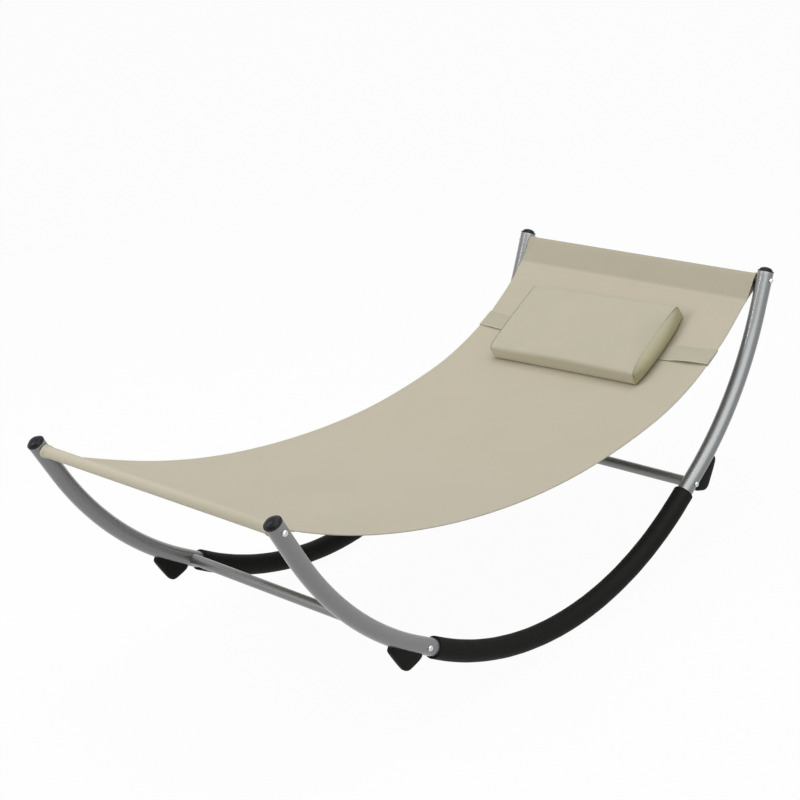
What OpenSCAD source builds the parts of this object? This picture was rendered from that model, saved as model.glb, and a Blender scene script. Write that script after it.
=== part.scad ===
// Rocking hammock lounge chair: two bent tube rails that rock on soft sleeves, four crossbars
// bolted between them, and a cloth sling with a sliding head pillow.
// Millimetres. +Z is up, +Y points from the foot end to the head end, X runs across.
// The origin is on the floor, midway between the rails and midway along them.

/* [Rails] */
// Outer diameter of the rail tubes
tube_d = 38; // [34:0.5:44]
// Wall of the rail tubes
tube_wall = 1.5; // [1:0.1:2.5]
// Clear width between the two rails
rail_gap = 698; // [560:2:800]
// Radius of every bend, to the middle of the tube
bend_r = 770; // [700:5:860]
// Angle that the floor tube is bent through
floor_angle = 64; // [56:0.5:70]
// Angle that each end tube is bent through
end_angle = 32.4; // [26:0.2:36]
// Straight stretch between the floor tube's bend and an end tube's bend
joint_straight = 70; // [64:1:90]
// Straight stretch at the top of each end tube
end_straight = 95; // [70:1:130]

/* [Rail joints] */
// Distance from the floor tube's bend to its shoulder, where an end tube begins
shoulder_at = 7; // [3:1:12]
// Length of the narrowed spigot that plugs into the end tube
spigot_len = 60; // [45:1:61]
// Gap between a spigot and the tube round it
spigot_gap = 0.25; // [0.1:0.05:0.5]
// Distance from the floor tube's bend to the joint bolt
joint_bolt_at = 55.5; // [46:0.5:57]

/* [Floor sleeves] */
// Wall of the soft sleeve that the chair rocks on
sleeve_wall = 4.8; // [3:0.1:8]
// Gap between a sleeve and its tube
sleeve_gap = 0.2; // [0.1:0.05:0.5]
// How far a sleeve runs on past the bend
sleeve_past = 26.5; // [15:0.5:36]
// Rounding of a sleeve's rim
sleeve_round = 2.4; // [0.5:0.1:2.8]
// Depth to which a soft sleeve is pressed flat where it stands on the floor
sleeve_flat = 0.7; // [0.3:0.1:1.5]

/* [Crossbars] */
// Diameter of the two bars that carry the sling
bar_d = 22; // [18:0.5:28]
// Diameter of the two low stretchers
stretcher_d = 25; // [20:0.5:30]
// Wall of the crossbars
bar_wall = 1.5; // [1:0.1:2.5]
// Distance from a rail's end to the bolt of the sling bar
bar_from_end = 19.5; // [17:0.5:40]
// Gap between a crossbar's hollowed end and the rail
cope_gap = 0.15; // [0.1:0.05:0.4]

/* [Bolts] */
// Diameter of the bolts through the rails
bolt_d = 6; // [4:0.5:8]
// Diameter of a bolt's head
bolt_head_d = 12; // [10:0.5:15]
// Height of a bolt's domed head
bolt_head_h = 3.4; // [2.5:0.1:5]
// Width across the flats of the socket in a bolt's head
bolt_socket = 4; // [3:0.5:5]
// Length of bolt that is screwed into a crossbar
bolt_grip = 17; // [12:1:24]
// Length of the threaded insert in a crossbar's end
insert_len = 22; // [16:1:30]

/* [End caps] */
// Height of a cap's dome
cap_dome = 8.5; // [5:0.5:12]
// Thickness of a cap's rim under the dome
cap_rim = 1.6; // [1:0.1:3]
// How far a cap's rim stands out past the tube
cap_lip = 0.5; // [0.1:0.1:1.5]
// Length of the plug inside the tube
cap_plug = 14; // [6:0.5:14]

/* [Rocking stops] */
// Distance along the rail from a joint bolt to a stop's tip
stop_at = 35.5; // [30:0.5:60]
// How far a stop's tip stands below the tube
stop_drop = 37.5; // [25:0.5:50]
// Length of a stop from the tip towards the joint
stop_inner = 33; // [24:0.5:40]
// Length of a stop from the tip towards the rail's end
stop_outer = 60; // [40:0.5:75]
// Width of a stop where it meets the tube
stop_w = 24; // [18:0.5:32]
// Rounding of a stop's tip
stop_tip_r = 15; // [9:0.5:18]
// Diameter of the screw that holds a stop
stop_screw_d = 4.5; // [3:0.5:6]

/* [Sling] */
// Gap between each edge of the sling and its rail
sling_gap = 2; // [1:0.5:40]
// Thickness of the sling's cloth
sling_t = 1.2; // [0.8:0.1:2.5]
// Height of the sling's lowest line above the floor
sling_low = 330.9; // [260:2:380]
// Distance of the lowest line from the middle, towards the head
sling_low_y = 95.5; // [0:0.5:160]
// Angle of the sling's slope where the head's curve begins
head_angle = 8.7; // [4:0.1:12]
// Length of the straight stretch between the head's curve and the seam of its tunnel
seam_flat = 22; // [12:1:45]
// Distance from a sling bar to the seam that closes its tunnel
hem = 65; // [45:1:90]
// How far each end of a tunnel stops short of the sling's edge
hem_short = 5; // [0:0.5:12]
// Gap between a tunnel and its bar
hem_gap = 0.3; // [0.2:0.05:1]

/* [Pillow] */
// Width of the pillow, across the chair
pillow_w = 430; // [300:2:520]
// Length of the pillow, along the sling
pillow_l = 235; // [160:1:280]
// Height of the pillow's side wall at its front, towards the foot
pillow_front = 28; // [18:1:45]
// Height of the pillow's side wall at its back
pillow_back = 38; // [18:1:50]
// How far the pillow's crown rises above its seam
pillow_crown = 14; // [8:1:30]
// How far the pillow's sides draw in between its corners
pillow_draw = 6; // [0:0.5:12]
// How far the side wall bulges past its seams
pillow_bulge = 3.5; // [1:0.5:8]
// Thickness of the pillow's cover
cover_t = 1; // [0.6:0.1:2]
// Thickness of the wadding wrapped up inside the cover
wadding_t = 3; // [2:0.5:10]
// Distance along the sling from the head bar to the pillow's middle
pillow_to_bar = 259; // [220:1:330]
// Width of the strap that holds the pillow
strap_w = 50; // [25:1:70]
// Thickness of the strap
strap_t = 1; // [0.6:0.1:2]
// Distance from the pillow's middle to the strap's middle, towards the head
strap_offset = 13.5; // [-40:0.5:50]

/* [Hidden] */
$fn = 64;

RIGHT = 1;
LEFT = -1;
HEAD = 1;
FOOT = -1;

// Radii of the tubes, bars and sleeves
tube_r = tube_d / 2;
bore_r = tube_r - tube_wall;
spigot_r = bore_r - spigot_gap;
sleeve_in_r = tube_r + sleeve_gap;
sleeve_r = sleeve_in_r + sleeve_wall;
bar_r = bar_d / 2;
stretcher_r = stretcher_d / 2;
rail_x = rail_gap / 2 + tube_r;

// Lengths along a rail, measured from its middle
bend_a = floor_angle / 2;
floor_bend_end = bend_r * bend_a * PI / 180;
end_bend_start = floor_bend_end + joint_straight;
end_bend_end = end_bend_start + bend_r * end_angle * PI / 180;
rail_end = end_bend_end + end_straight;
shoulder_s = floor_bend_end + shoulder_at;
spigot_end = shoulder_s + spigot_len;
joint_bolt_s = floor_bend_end + joint_bolt_at;
sleeve_end = floor_bend_end + sleeve_past;
bar_s = rail_end - bar_from_end;
stop_s = joint_bolt_s + stop_at;

// A rail's middle line in its own plane: Y and Z at a length s from the rail's middle, s >= 0.
// It is an arc, a straight stretch, a second arc and a straight end.
function along(p, a, d) = [p[0] + d * cos(a), p[1] + d * sin(a)];
function round_arc(p, from, to) =
    [p[0] + bend_r * (sin(to) - sin(from)), p[1] + bend_r * (cos(from) - cos(to))];
rail_low = [0, sleeve_r - sleeve_flat];
rail_p1 = round_arc(rail_low, 0, bend_a);
rail_p2 = along(rail_p1, bend_a, joint_straight);
end_a = bend_a + end_angle;
rail_p3 = round_arc(rail_p2, bend_a, end_a);
function rail_slope(s) =
    s <= floor_bend_end ? s / bend_r * 180 / PI :
    s <= end_bend_start ? bend_a :
    s <= end_bend_end ? bend_a + (s - end_bend_start) / bend_r * 180 / PI : end_a;
function rail_point(s) =
    s <= floor_bend_end ? round_arc(rail_low, 0, rail_slope(s)) :
    s <= end_bend_start ? along(rail_p1, bend_a, s - floor_bend_end) :
    s <= end_bend_end ? round_arc(rail_p2, bend_a, rail_slope(s)) :
    along(rail_p3, end_a, s - end_bend_end);

// Tunnels at the sling's ends; a sheet ends where its tunnel's two walls are as thick together
tunnel_in_r = bar_r + hem_gap;
tunnel_out_r = tunnel_in_r + sling_t;
sling_w = rail_gap - 2 * sling_gap;
hem_root = hem * (1 + tunnel_in_r / tunnel_out_r) / 2;

// The sling's middle line: one wide arc from the foot bar, a tighter arc under the head,
// and a straight stretch to the head bar. The tighter arc leaves the wide one at head_angle,
// and its radius is the one that meets a straight stretch of the length head_flat.
bar_point = rail_point(bar_s);
foot_run = bar_point[0] + sling_low_y;
foot_rise = bar_point[1] - sling_low;
sling_r = (foot_run * foot_run + foot_rise * foot_rise) / (2 * foot_rise);
sling_centre = [sling_low_y, sling_low + sling_r];
foot_a = -asin(foot_run / sling_r);
head_start = sling_centre + sling_r * [sin(head_angle), -cos(head_angle)];
head_flat = hem_root + seam_flat;
head_span = bar_point - head_start;
head_up = [-sin(head_angle), cos(head_angle)];
head_r = (head_span * head_span - head_flat * head_flat) / (2 * head_span * head_up);
head_centre = head_start + head_r * head_up;
head_reach = bar_point - head_centre;
head_to = atan2(head_reach[1], head_reach[0]) + atan2(head_r, head_flat);
head_run = head_r * (head_to - head_angle) * PI / 180;
pillow_at = head_run + head_flat - pillow_to_bar;

// Heights above the sling's upper face under the head, and radii about the head's curve
clear = 0.3;
sling_top_r = head_r - sling_t / 2;
sling_under_r = head_r + sling_t / 2;
pillow_base = clear + strap_t + clear;

// Where two stretches of one piece meet, the thinner one runs into the other by a lap,
// and its surfaces lie inside the other's by a hair, so that they fuse.
lap = 2;
hair = 0.05;

// Bolts, inserts and screws: gaps round them and how far they reach
bolt_r = bolt_d / 2;
bolt_hole_r = bolt_r + 0.3;
bolt_seat = rail_x + tube_r + 0.1;
bolt_reach = bolt_seat - rail_gap / 2 + bolt_grip;
bolt_rim_share = 0.25;
socket_share = 0.45;
thread_gap = 0.05;
insert_gap = 0.15;
screw_bite = 4;
screw_head_r = stop_screw_d * 0.95;
screw_head_h = stop_screw_d * 0.6;

// Caps: the plug inside the tube, its two ribs and its wall
plug_r = bore_r - 0.9;
plug_wall = 2.6;
rib_r = bore_r - 0.1;
rib_w = 1.2;
cap_gap = 0.1;

// Stops: roundings of their outline, and the depth of rubber over the screw's head
stop_corner_r = 4;
stop_heel_r = 8;
stop_foot_r = stop_w * 0.36;
stop_root = tube_r + 4;
stop_seat = 9;
stop_tip = [0, -(tube_r + stop_drop - stop_tip_r)];
stop_heel = [stop_outer - stop_heel_r, -(stop_root + 1)];
stop_corner = [-(stop_inner - stop_corner_r), -stop_root];

// Frames that carry a shape to its place

// Turns a flat drawing so that it lies in the rail's plane: across becomes Y, up becomes Z.
module upright() rotate([90, 0, 90]) children();

// Carries a shape to a length s along a rail at side x and end e: its X axis then runs
// outwards along the rail, its Y axis points into the curve and its Z axis runs across.
module on_rail(x, e, s) {
    mirror([0, e == FOOT ? 1 : 0, 0])
        upright()
            translate([rail_point(s)[0], rail_point(s)[1], x * rail_x])
                rotate(rail_slope(s))
                    children();
}

// A ring swept round an arc of the rail, between two slopes, about the arc's own centre
module rail_bend(start, from, to, out_r, in_r) {
    translate([start[0] - bend_r * sin(from), start[1] + bend_r * cos(from)])
        rotate(from - 90)
            rotate_extrude(angle = to - from, $fn = 360)
                translate([bend_r, 0]) ring(out_r, in_r);
}

module ring(out_r, in_r) {
    difference() {
        circle(out_r);
        if (in_r > 0) circle(in_r);
    }
}

// A ring pushed straight along X, which becomes the line of the rail inside on_rail
module rail_straight(from, to, out_r, in_r) {
    translate([from, 0, 0]) rotate([90, 0, 90]) linear_extrude(to - from) ring(out_r, in_r);
}

// A bolt hole or bolt-shaped cylinder across a rail, centred on its middle line
module across(length, r) cylinder(h = length, r = r, center = true);

// Rails

module floor_tube(x) {
    color("silver") difference() {
        union() {
            upright() translate([0, 0, x * rail_x])
                rail_bend([-rail_p1[0], rail_p1[1]], -bend_a, bend_a, tube_r, bore_r);
            for (e = [FOOT, HEAD]) on_rail(x, e, floor_bend_end) {
                rail_straight(-lap, shoulder_at, tube_r - hair, bore_r + hair);
                rail_straight(shoulder_at - tube_wall - hair, shoulder_at - hair,
                    tube_r - tube_wall / 2, spigot_r - tube_wall / 2);
                rail_straight(shoulder_at - tube_wall - lap, shoulder_at + spigot_len,
                    spigot_r, spigot_r - tube_wall);
            }
        }
        for (e = [FOOT, HEAD]) on_rail(x, e, joint_bolt_s) across(tube_d, bolt_hole_r);
    }
}

module end_tube(x, e) {
    color("silver") difference() {
        union() {
            mirror([0, e == FOOT ? 1 : 0, 0]) upright() translate([0, 0, x * rail_x])
                rail_bend(rail_p2, bend_a, end_a, tube_r, bore_r);
            on_rail(x, e, end_bend_start)
                rail_straight(shoulder_s + clear - end_bend_start, lap, tube_r - hair, bore_r + hair);
            on_rail(x, e, end_bend_end)
                rail_straight(-lap, end_straight, tube_r - hair, bore_r + hair);
        }
        on_rail(x, e, joint_bolt_s) across(tube_d + 1, bolt_hole_r);
        on_rail(x, e, bar_s) across(tube_d + 1, bolt_hole_r);
        on_rail(x, e, stop_s) rotate([90, 0, 0]) cylinder(h = tube_d, r = stop_screw_d / 2 + clear);
    }
}

// A sleeve over the floor tube's bend, flat underneath where it stands
module floor_sleeve(x) {
    color([0.13, 0.13, 0.13]) {
        difference() {
            upright() translate([0, 0, x * rail_x])
                rail_bend([-rail_p1[0], rail_p1[1]], -bend_a, bend_a, sleeve_r, sleeve_in_r);
            translate([x * rail_x - sleeve_r, -bend_r / 4, -2 * sleeve_flat])
                cube([2 * sleeve_r, bend_r / 2, 2 * sleeve_flat]);
        }
        for (e = [FOOT, HEAD]) on_rail(x, e, floor_bend_end) difference() {
            rail_straight(-lap, sleeve_past, sleeve_r - hair, sleeve_in_r + hair);
            translate([sleeve_past, 0, 0]) rotate([0, 90, 0]) rotate_extrude() sleeve_rim();
        }
    }
}

// Half section of what is cut from a sleeve's rim to round it; the rim ends at 0
module sleeve_rim() {
    translate([sleeve_r - sleeve_round, -sleeve_round]) difference() {
        square(2 * sleeve_round);
        circle(sleeve_round);
    }
}

// Crossbars

// A tube across the chair at rail length s, its ends hollowed to saddle the two rails
module crossbar(e, s, r) {
    lip_x = rail_x - sqrt(tube_r * tube_r - r * r);
    color("silver") difference() {
        on_rail(0, e, s) linear_extrude(2 * lip_x, center = true) ring(r, r - bar_wall);
        for (x = [LEFT, RIGHT])
            on_rail(x, e, s) rotate([0, 90, 0])
                cylinder(h = 4 * r, r = tube_r + cope_gap, center = true);
    }
}

module bar_inserts_at(e, s, r) {
    for (x = [LEFT, RIGHT])
        on_rail(0, e, s) translate([0, 0, x * (rail_gap / 2 - cope_gap - insert_len / 2)])
            difference() {
                cylinder(h = insert_len, r = r - bar_wall - insert_gap, center = true);
                cylinder(h = insert_len + 1, r = bolt_r + thread_gap, center = true);
            }
}

module inserts(s, r) {
    color("goldenrod") for (e = [FOOT, HEAD]) bar_inserts_at(e, s, r);
}

// Bolts

// A bolt pushed inwards through a rail, its domed head outside
module rail_bolt(x, e, s) {
    on_rail(0, e, s) mirror([0, 0, x == LEFT ? 1 : 0]) translate([0, 0, bolt_seat]) {
        translate([0, 0, -bolt_reach]) cylinder(h = bolt_reach, r = bolt_r);
        difference() {
            bolt_dome();
            translate([0, 0, bolt_head_h * socket_share])
                cylinder(h = bolt_head_h, r = bolt_socket / 2 / cos(30), $fn = 6);
        }
    }
}

// A button head: the cap of a sphere over a short rim
module bolt_dome() {
    rise = bolt_head_h * (1 - bolt_rim_share);
    dome_r = (bolt_head_d * bolt_head_d / 4 + rise * rise) / (2 * rise);
    intersection() {
        cylinder(h = bolt_head_h, d = bolt_head_d);
        translate([0, 0, bolt_head_h - dome_r]) sphere(dome_r, $fn = 96);
    }
}

module bolts(s) {
    color([0.85, 0.86, 0.87]) for (x = [LEFT, RIGHT], e = [FOOT, HEAD]) rail_bolt(x, e, s);
}

// End caps

// Half section of a cap: a dome and rim outside the tube, a ribbed plug inside
module cap_section() {
    cap_r = tube_r + cap_lip;
    dome_r = (cap_r * cap_r + cap_dome * cap_dome) / (2 * cap_dome);
    square([cap_r, cap_rim]);
    intersection() {
        translate([0, cap_rim]) square([cap_r, cap_dome]);
        translate([0, cap_rim + cap_dome - dome_r]) circle(dome_r, $fn = 128);
    }
    translate([0, -cap_plug]) square([plug_r, cap_plug]);
    for (k = [1, 3]) translate([0, -(cap_plug * k / 4 + rib_w / 2)]) square([rib_r, rib_w]);
}

module end_cap(x, e) {
    color([0.12, 0.12, 0.13]) on_rail(x, e, rail_end)
        translate([cap_gap, 0, 0]) rotate([0, 90, 0]) difference() {
            rotate_extrude() cap_section();
            translate([0, 0, -cap_plug - 1]) cylinder(h = cap_plug, r = plug_r - plug_wall);
        }
}

// Rocking stops

// Direction, between -360 and 0, in which the line that rests on circles a and b faces away
// from them, when it lies on the left of the way from a to b
function facing(a, ar, b, br) =
    let (d = b - a, turn = atan2(d[1], d[0]) + acos((ar - br) / norm(d)))
    turn > 0 ? turn - 360 : turn;

// Points round a circle's edge, from one direction to another
function fan(centre, r, from, to) =
    [for (k = [0:6]) let (a = from + (to - from) * k / 6) centre + r * [cos(a), sin(a)]];

// Outline of a stop in the rail's plane: three rounded corners, the top inside the tube
module stop_outline() {
    outer_face = facing(stop_heel, stop_heel_r, stop_tip, stop_tip_r);
    inner_face = facing(stop_tip, stop_tip_r, stop_corner, stop_corner_r);
    polygon(concat([[-stop_inner, -tube_r / 2], [stop_outer, -tube_r / 2]],
        fan(stop_heel, stop_heel_r, 0, outer_face),
        fan(stop_tip, stop_tip_r, outer_face, inner_face),
        fan(stop_corner, stop_corner_r, inner_face, -180)));
}

// Outline of a stop seen along the rail: it narrows from the tube to a rounded foot
module stop_width() {
    low = -(tube_r + stop_drop) + stop_foot_r;
    polygon(concat([[-stop_w / 2, -stop_root], [-stop_w / 2, 0], [stop_w / 2, 0],
        [stop_w / 2, -stop_root]], fan([0, low], stop_foot_r, -5, -175)));
}

module rocking_stop(x, e) {
    saddle_r = tube_r + cope_gap;
    color([0.12, 0.12, 0.12]) difference() {
        on_rail(x, e, stop_s) intersection() {
            linear_extrude(stop_w + lap, center = true) stop_outline();
            translate([-stop_inner - lap, 0, 0]) rotate([0, 90, 0])
                linear_extrude(stop_inner + stop_outer + 2 * lap) stop_width();
        }
        on_rail(x, e, stop_s) rotate([90, 0, 0]) {
            cylinder(h = tube_r + stop_drop, r = stop_screw_d / 2 + clear);
            translate([0, 0, tube_r + stop_seat]) cylinder(h = stop_drop, r = screw_head_r + clear);
        }
        mirror([0, e == FOOT ? 1 : 0, 0]) upright() translate([0, 0, x * rail_x])
            rail_bend(rail_p2, bend_a, end_a, saddle_r, 0);
        on_rail(x, e, end_bend_start) rail_straight(-joint_straight, lap, saddle_r + hair, 0);
    }
}

// A pan-head screw up through a stop into the tube's wall
module stop_screw(x, e) {
    on_rail(x, e, stop_s) rotate([90, 0, 0]) {
        translate([0, 0, bore_r - screw_bite])
            cylinder(h = tube_wall + screw_bite + stop_seat + cope_gap, r = stop_screw_d / 2);
        translate([0, 0, tube_r + stop_seat + thread_gap]) cylinder(h = screw_head_h, r = screw_head_r);
    }
}

module stop_screws() {
    color([0.6, 0.6, 0.62]) for (x = [LEFT, RIGHT], e = [FOOT, HEAD]) stop_screw(x, e);
}

// Sling

// A sheet curved about a line across the chair, between two slopes, thinned by a margin
module sheet_bend(centre, r, from, to, margin) {
    translate(centre) rotate(from - 90) rotate_extrude(angle = to - from, $fn = 240)
        translate([r - sling_t / 2 + margin, margin - sling_w / 2])
            square([sling_t - 2 * margin, sling_w - 2 * margin]);
}

// Drop-shaped outline round a bar at the origin, drawn out to a point on -X
module drop(r, reach) {
    a = acos(r / reach);
    circle(r);
    polygon([[-reach, 0], (r - hair) * [-cos(a), -sin(a)], [0, 0], (r - hair) * [-cos(a), sin(a)]]);
}

// A tunnel round a sling bar; the sheet leaves it along -X
module tunnel() {
    linear_extrude(sling_w - 2 * hem_short, center = true) difference() {
        drop(tunnel_out_r, hem);
        drop(tunnel_in_r, hem * tunnel_in_r / tunnel_out_r);
    }
}

module sling() {
    root_a = 2 * asin(hem_root / 2 / sling_r);
    lap_a = lap / head_r * 180 / PI;
    color([0.77, 0.73, 0.64]) upright() {
        sheet_bend(sling_centre, sling_r, foot_a + root_a, head_angle + lap_a, hair);
        sheet_bend(head_centre, head_r, head_angle, head_to, 0);
        translate(bar_point) rotate(head_to) {
            translate([-head_flat - lap, hair - sling_t / 2, hair - sling_w / 2])
                cube([head_flat + lap - hem_root, sling_t - 2 * hair, sling_w - 2 * hair]);
            tunnel();
        }
        translate([-bar_point[0], bar_point[1]]) rotate(foot_a + root_a / 2 + 180) tunnel();
    }
}

// Pillow

// A point over the sling's head curve: a is the length along it from its start, x is across,
// h the height above the sling's upper face
function over_head(x, a, h) =
    let (turn = head_angle + a / head_r * 180 / PI, r = sling_top_r - h)
    [x, head_centre[0] + r * sin(turn), head_centre[1] - r * cos(turn)];

// Points round a unit square, at even steps, starting at a corner
pillow_side_steps = 10;
pillow_loop = [for (side = [0:3], k = [0:pillow_side_steps - 1])
    let (t = -1 + 2 * k / pillow_side_steps)
    side == 0 ? [t, -1] : side == 1 ? [1, t] : side == 2 ? [-t, 1] : [-1, -t]];

// Each ring of the pillow is that square drawn in by a share k. Its edge rows are the
// bottom seam, three rows of bulging side wall and the top seam; the panels are inside them.
// Each row is [share, place up the side wall from 0 to 1, bulge]
bottom_rows = [[0.3, 0, 0], [0.65, 0, 0], [0.9, 0, 0], [0.985, 0, 0]];
wall_rows = [[1, 0.08, 0], [1, 0.3, 0.8], [1, 0.55, 1], [1, 0.8, 0.75], [1, 1, 0]];
top_rows = [[0.97, 1, 0], [0.9, 1, 0], [0.78, 1, 0], [0.6, 1, 0], [0.35, 1, 0]];
pillow_rows = concat(bottom_rows, wall_rows, top_rows);

// A point of the pillow at (u, v) of its square and a row, all drawn in by a margin
function pillow_point(u, v, row, margin) =
    let (k = row[0], bulge = pillow_bulge * row[2],
        half_w = pillow_w / 2 - margin - pillow_draw * (1 - v * v),
        half_l = pillow_l / 2 - margin - pillow_draw * (1 - u * u),
        // the panel's crown falls to nothing at its seams
        crown = row[1] < 1 ? 0 : pillow_crown * (1 - pow(k * abs(u), 4)) * (1 - pow(k * abs(v), 4))
            * (1 - pow(k, 10)),
        side = pillow_front + (pillow_back - pillow_front) * (1 + v * k) / 2,
        wall = side - 2 * margin)
    over_head(u * k * half_w + sign(u) * abs(pow(u, 3)) * bulge * (k == 1 ? 1 : 0),
        pillow_at + v * k * half_l + sign(v) * abs(pow(v, 3)) * bulge * (k == 1 ? 1 : 0),
        pillow_base + margin + wall * row[1] + crown);

// The closed skin of the pillow, drawn in by a margin
module pillow_skin(margin) {
    count = len(pillow_loop);
    rows = len(pillow_rows);
    middle_low = over_head(0, pillow_at, pillow_base + margin);
    middle_top = over_head(0, pillow_at, pillow_base - margin + pillow_crown
        + (pillow_front + pillow_back) / 2);
    points = concat([for (row = pillow_rows, p = pillow_loop) pillow_point(p[0], p[1], row, margin)],
        [middle_low, middle_top]);
    low = count * rows;
    bands = [for (i = [0:rows - 2], k = [0:count - 1])
        let (a = i * count + k, b = i * count + (k + 1) % count)
        each [[a, a + count, b], [b, a + count, b + count]]];
    ends = [for (k = [0:count - 1]) let (n = (k + 1) % count)
        each [[low, k, n], [low + 1, (rows - 1) * count + n, (rows - 1) * count + k]]];
    polyhedron(points, concat(bands, ends), convexity = 6);
}

module pillow_cover() {
    color([0.75, 0.71, 0.62]) difference() {
        pillow_skin(0);
        pillow_skin(cover_t);
    }
}

// A wrap of wadding, which lies against the cover all round
module pillow_filling() {
    color("white") difference() {
        pillow_skin(cover_t + clear);
        pillow_skin(cover_t + clear + wadding_t);
    }
}

// A flat loop of webbing round the sling, which slides along the head's curve
module pillow_strap() {
    middle = head_angle + (pillow_at + strap_offset) / head_r * 180 / PI;
    half_a = strap_w / 2 / head_r * 180 / PI;
    in_w = sling_w / 2 + clear;
    color([0.73, 0.71, 0.62]) upright() translate(head_centre) rotate(middle - half_a - 90)
        rotate_extrude(angle = 2 * half_a, $fn = 240) difference() {
            translate([sling_top_r - clear - strap_t, -in_w - strap_t])
                square([sling_t + 2 * clear + 2 * strap_t, 2 * (in_w + strap_t)]);
            translate([sling_top_r - clear, -in_w]) square([sling_t + 2 * clear, 2 * in_w]);
        }
}

// Pieces

floor_tube(RIGHT);  // floor_tube_right
floor_tube(LEFT);  // floor_tube_left
end_tube(RIGHT, FOOT);  // foot_tube_right
end_tube(LEFT, FOOT);  // foot_tube_left
end_tube(RIGHT, HEAD);  // head_tube_right
end_tube(LEFT, HEAD);  // head_tube_left
floor_sleeve(RIGHT);  // floor_sleeve_right
floor_sleeve(LEFT);  // floor_sleeve_left
crossbar(FOOT, bar_s, bar_r);  // foot_bar
crossbar(HEAD, bar_s, bar_r);  // head_bar
crossbar(FOOT, joint_bolt_s, stretcher_r);  // foot_stretcher
crossbar(HEAD, joint_bolt_s, stretcher_r);  // head_stretcher
end_cap(RIGHT, FOOT);  // foot_cap_right
end_cap(LEFT, FOOT);  // foot_cap_left
end_cap(RIGHT, HEAD);  // head_cap_right
end_cap(LEFT, HEAD);  // head_cap_left
rocking_stop(RIGHT, FOOT);  // foot_stop_right
rocking_stop(LEFT, FOOT);  // foot_stop_left
rocking_stop(RIGHT, HEAD);  // head_stop_right
rocking_stop(LEFT, HEAD);  // head_stop_left
bolts(bar_s);  // bar_bolts
bolts(joint_bolt_s);  // joint_bolts
inserts(bar_s, bar_r);  // bar_inserts
inserts(joint_bolt_s, stretcher_r);  // stretcher_inserts
stop_screws();
sling();
pillow_cover();
pillow_filling();
pillow_strap();
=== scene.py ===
"""Looks of a rocking hammock lounge chair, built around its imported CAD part.

Two bent tube rails stand on soft black sleeves. Four crossbars join them, and a cloth sling
hangs between the upper two and carries a head pillow on a strap. Lengths are metres. +Z is
up, +Y points from the foot end to the head end, and X runs across.
"""

import logging
import math
from dataclasses import dataclass, field
from enum import Enum
from typing import Sequence, Union

import bpy
import numpy as np
from mathutils import Matrix


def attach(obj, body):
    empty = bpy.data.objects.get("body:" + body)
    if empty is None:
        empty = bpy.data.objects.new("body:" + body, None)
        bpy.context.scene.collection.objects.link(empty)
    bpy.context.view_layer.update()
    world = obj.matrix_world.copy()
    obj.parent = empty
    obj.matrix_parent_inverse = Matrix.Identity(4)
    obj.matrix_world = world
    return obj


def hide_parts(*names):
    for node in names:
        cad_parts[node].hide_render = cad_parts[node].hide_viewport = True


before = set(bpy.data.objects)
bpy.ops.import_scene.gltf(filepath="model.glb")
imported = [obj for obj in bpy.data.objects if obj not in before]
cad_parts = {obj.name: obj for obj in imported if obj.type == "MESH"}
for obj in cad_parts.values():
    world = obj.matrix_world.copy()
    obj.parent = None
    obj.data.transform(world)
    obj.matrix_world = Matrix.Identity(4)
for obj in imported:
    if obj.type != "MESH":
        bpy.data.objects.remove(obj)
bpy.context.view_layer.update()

LOG = logging.getLogger("chair")
MM = 0.001
TURN = 2.0 * math.pi
ACROSS = np.array([1.0, 0.0, 0.0])
WHITE = (1.0, 1.0, 1.0)
TINY = 1e-9
CORNER_STEPS = 4

Material = bpy.types.Material
Piece = bpy.types.Object
Socket = bpy.types.NodeSocket
Pair = tuple[float, float]
Triple = tuple[float, float, float]
Colour = Triple


# Meshes


class Closing(Enum):
    """How the first and last rows of a grid are closed."""

    OPEN = "open"
    FAN = "fan"
    STRIP = "strip"


class Side(Enum):
    """A side of the chair, as the sign of X there."""

    RIGHT = 1
    LEFT = -1

    @property
    def word(self) -> str:
        """Its name within the names of pieces and nodes."""
        return self.name.lower()


class End(Enum):
    """An end of the chair, as the sign of Y there."""

    FOOT = -1
    HEAD = 1

    @property
    def word(self) -> str:
        """Its name within the names of pieces and nodes."""
        return self.name.lower()


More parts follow.
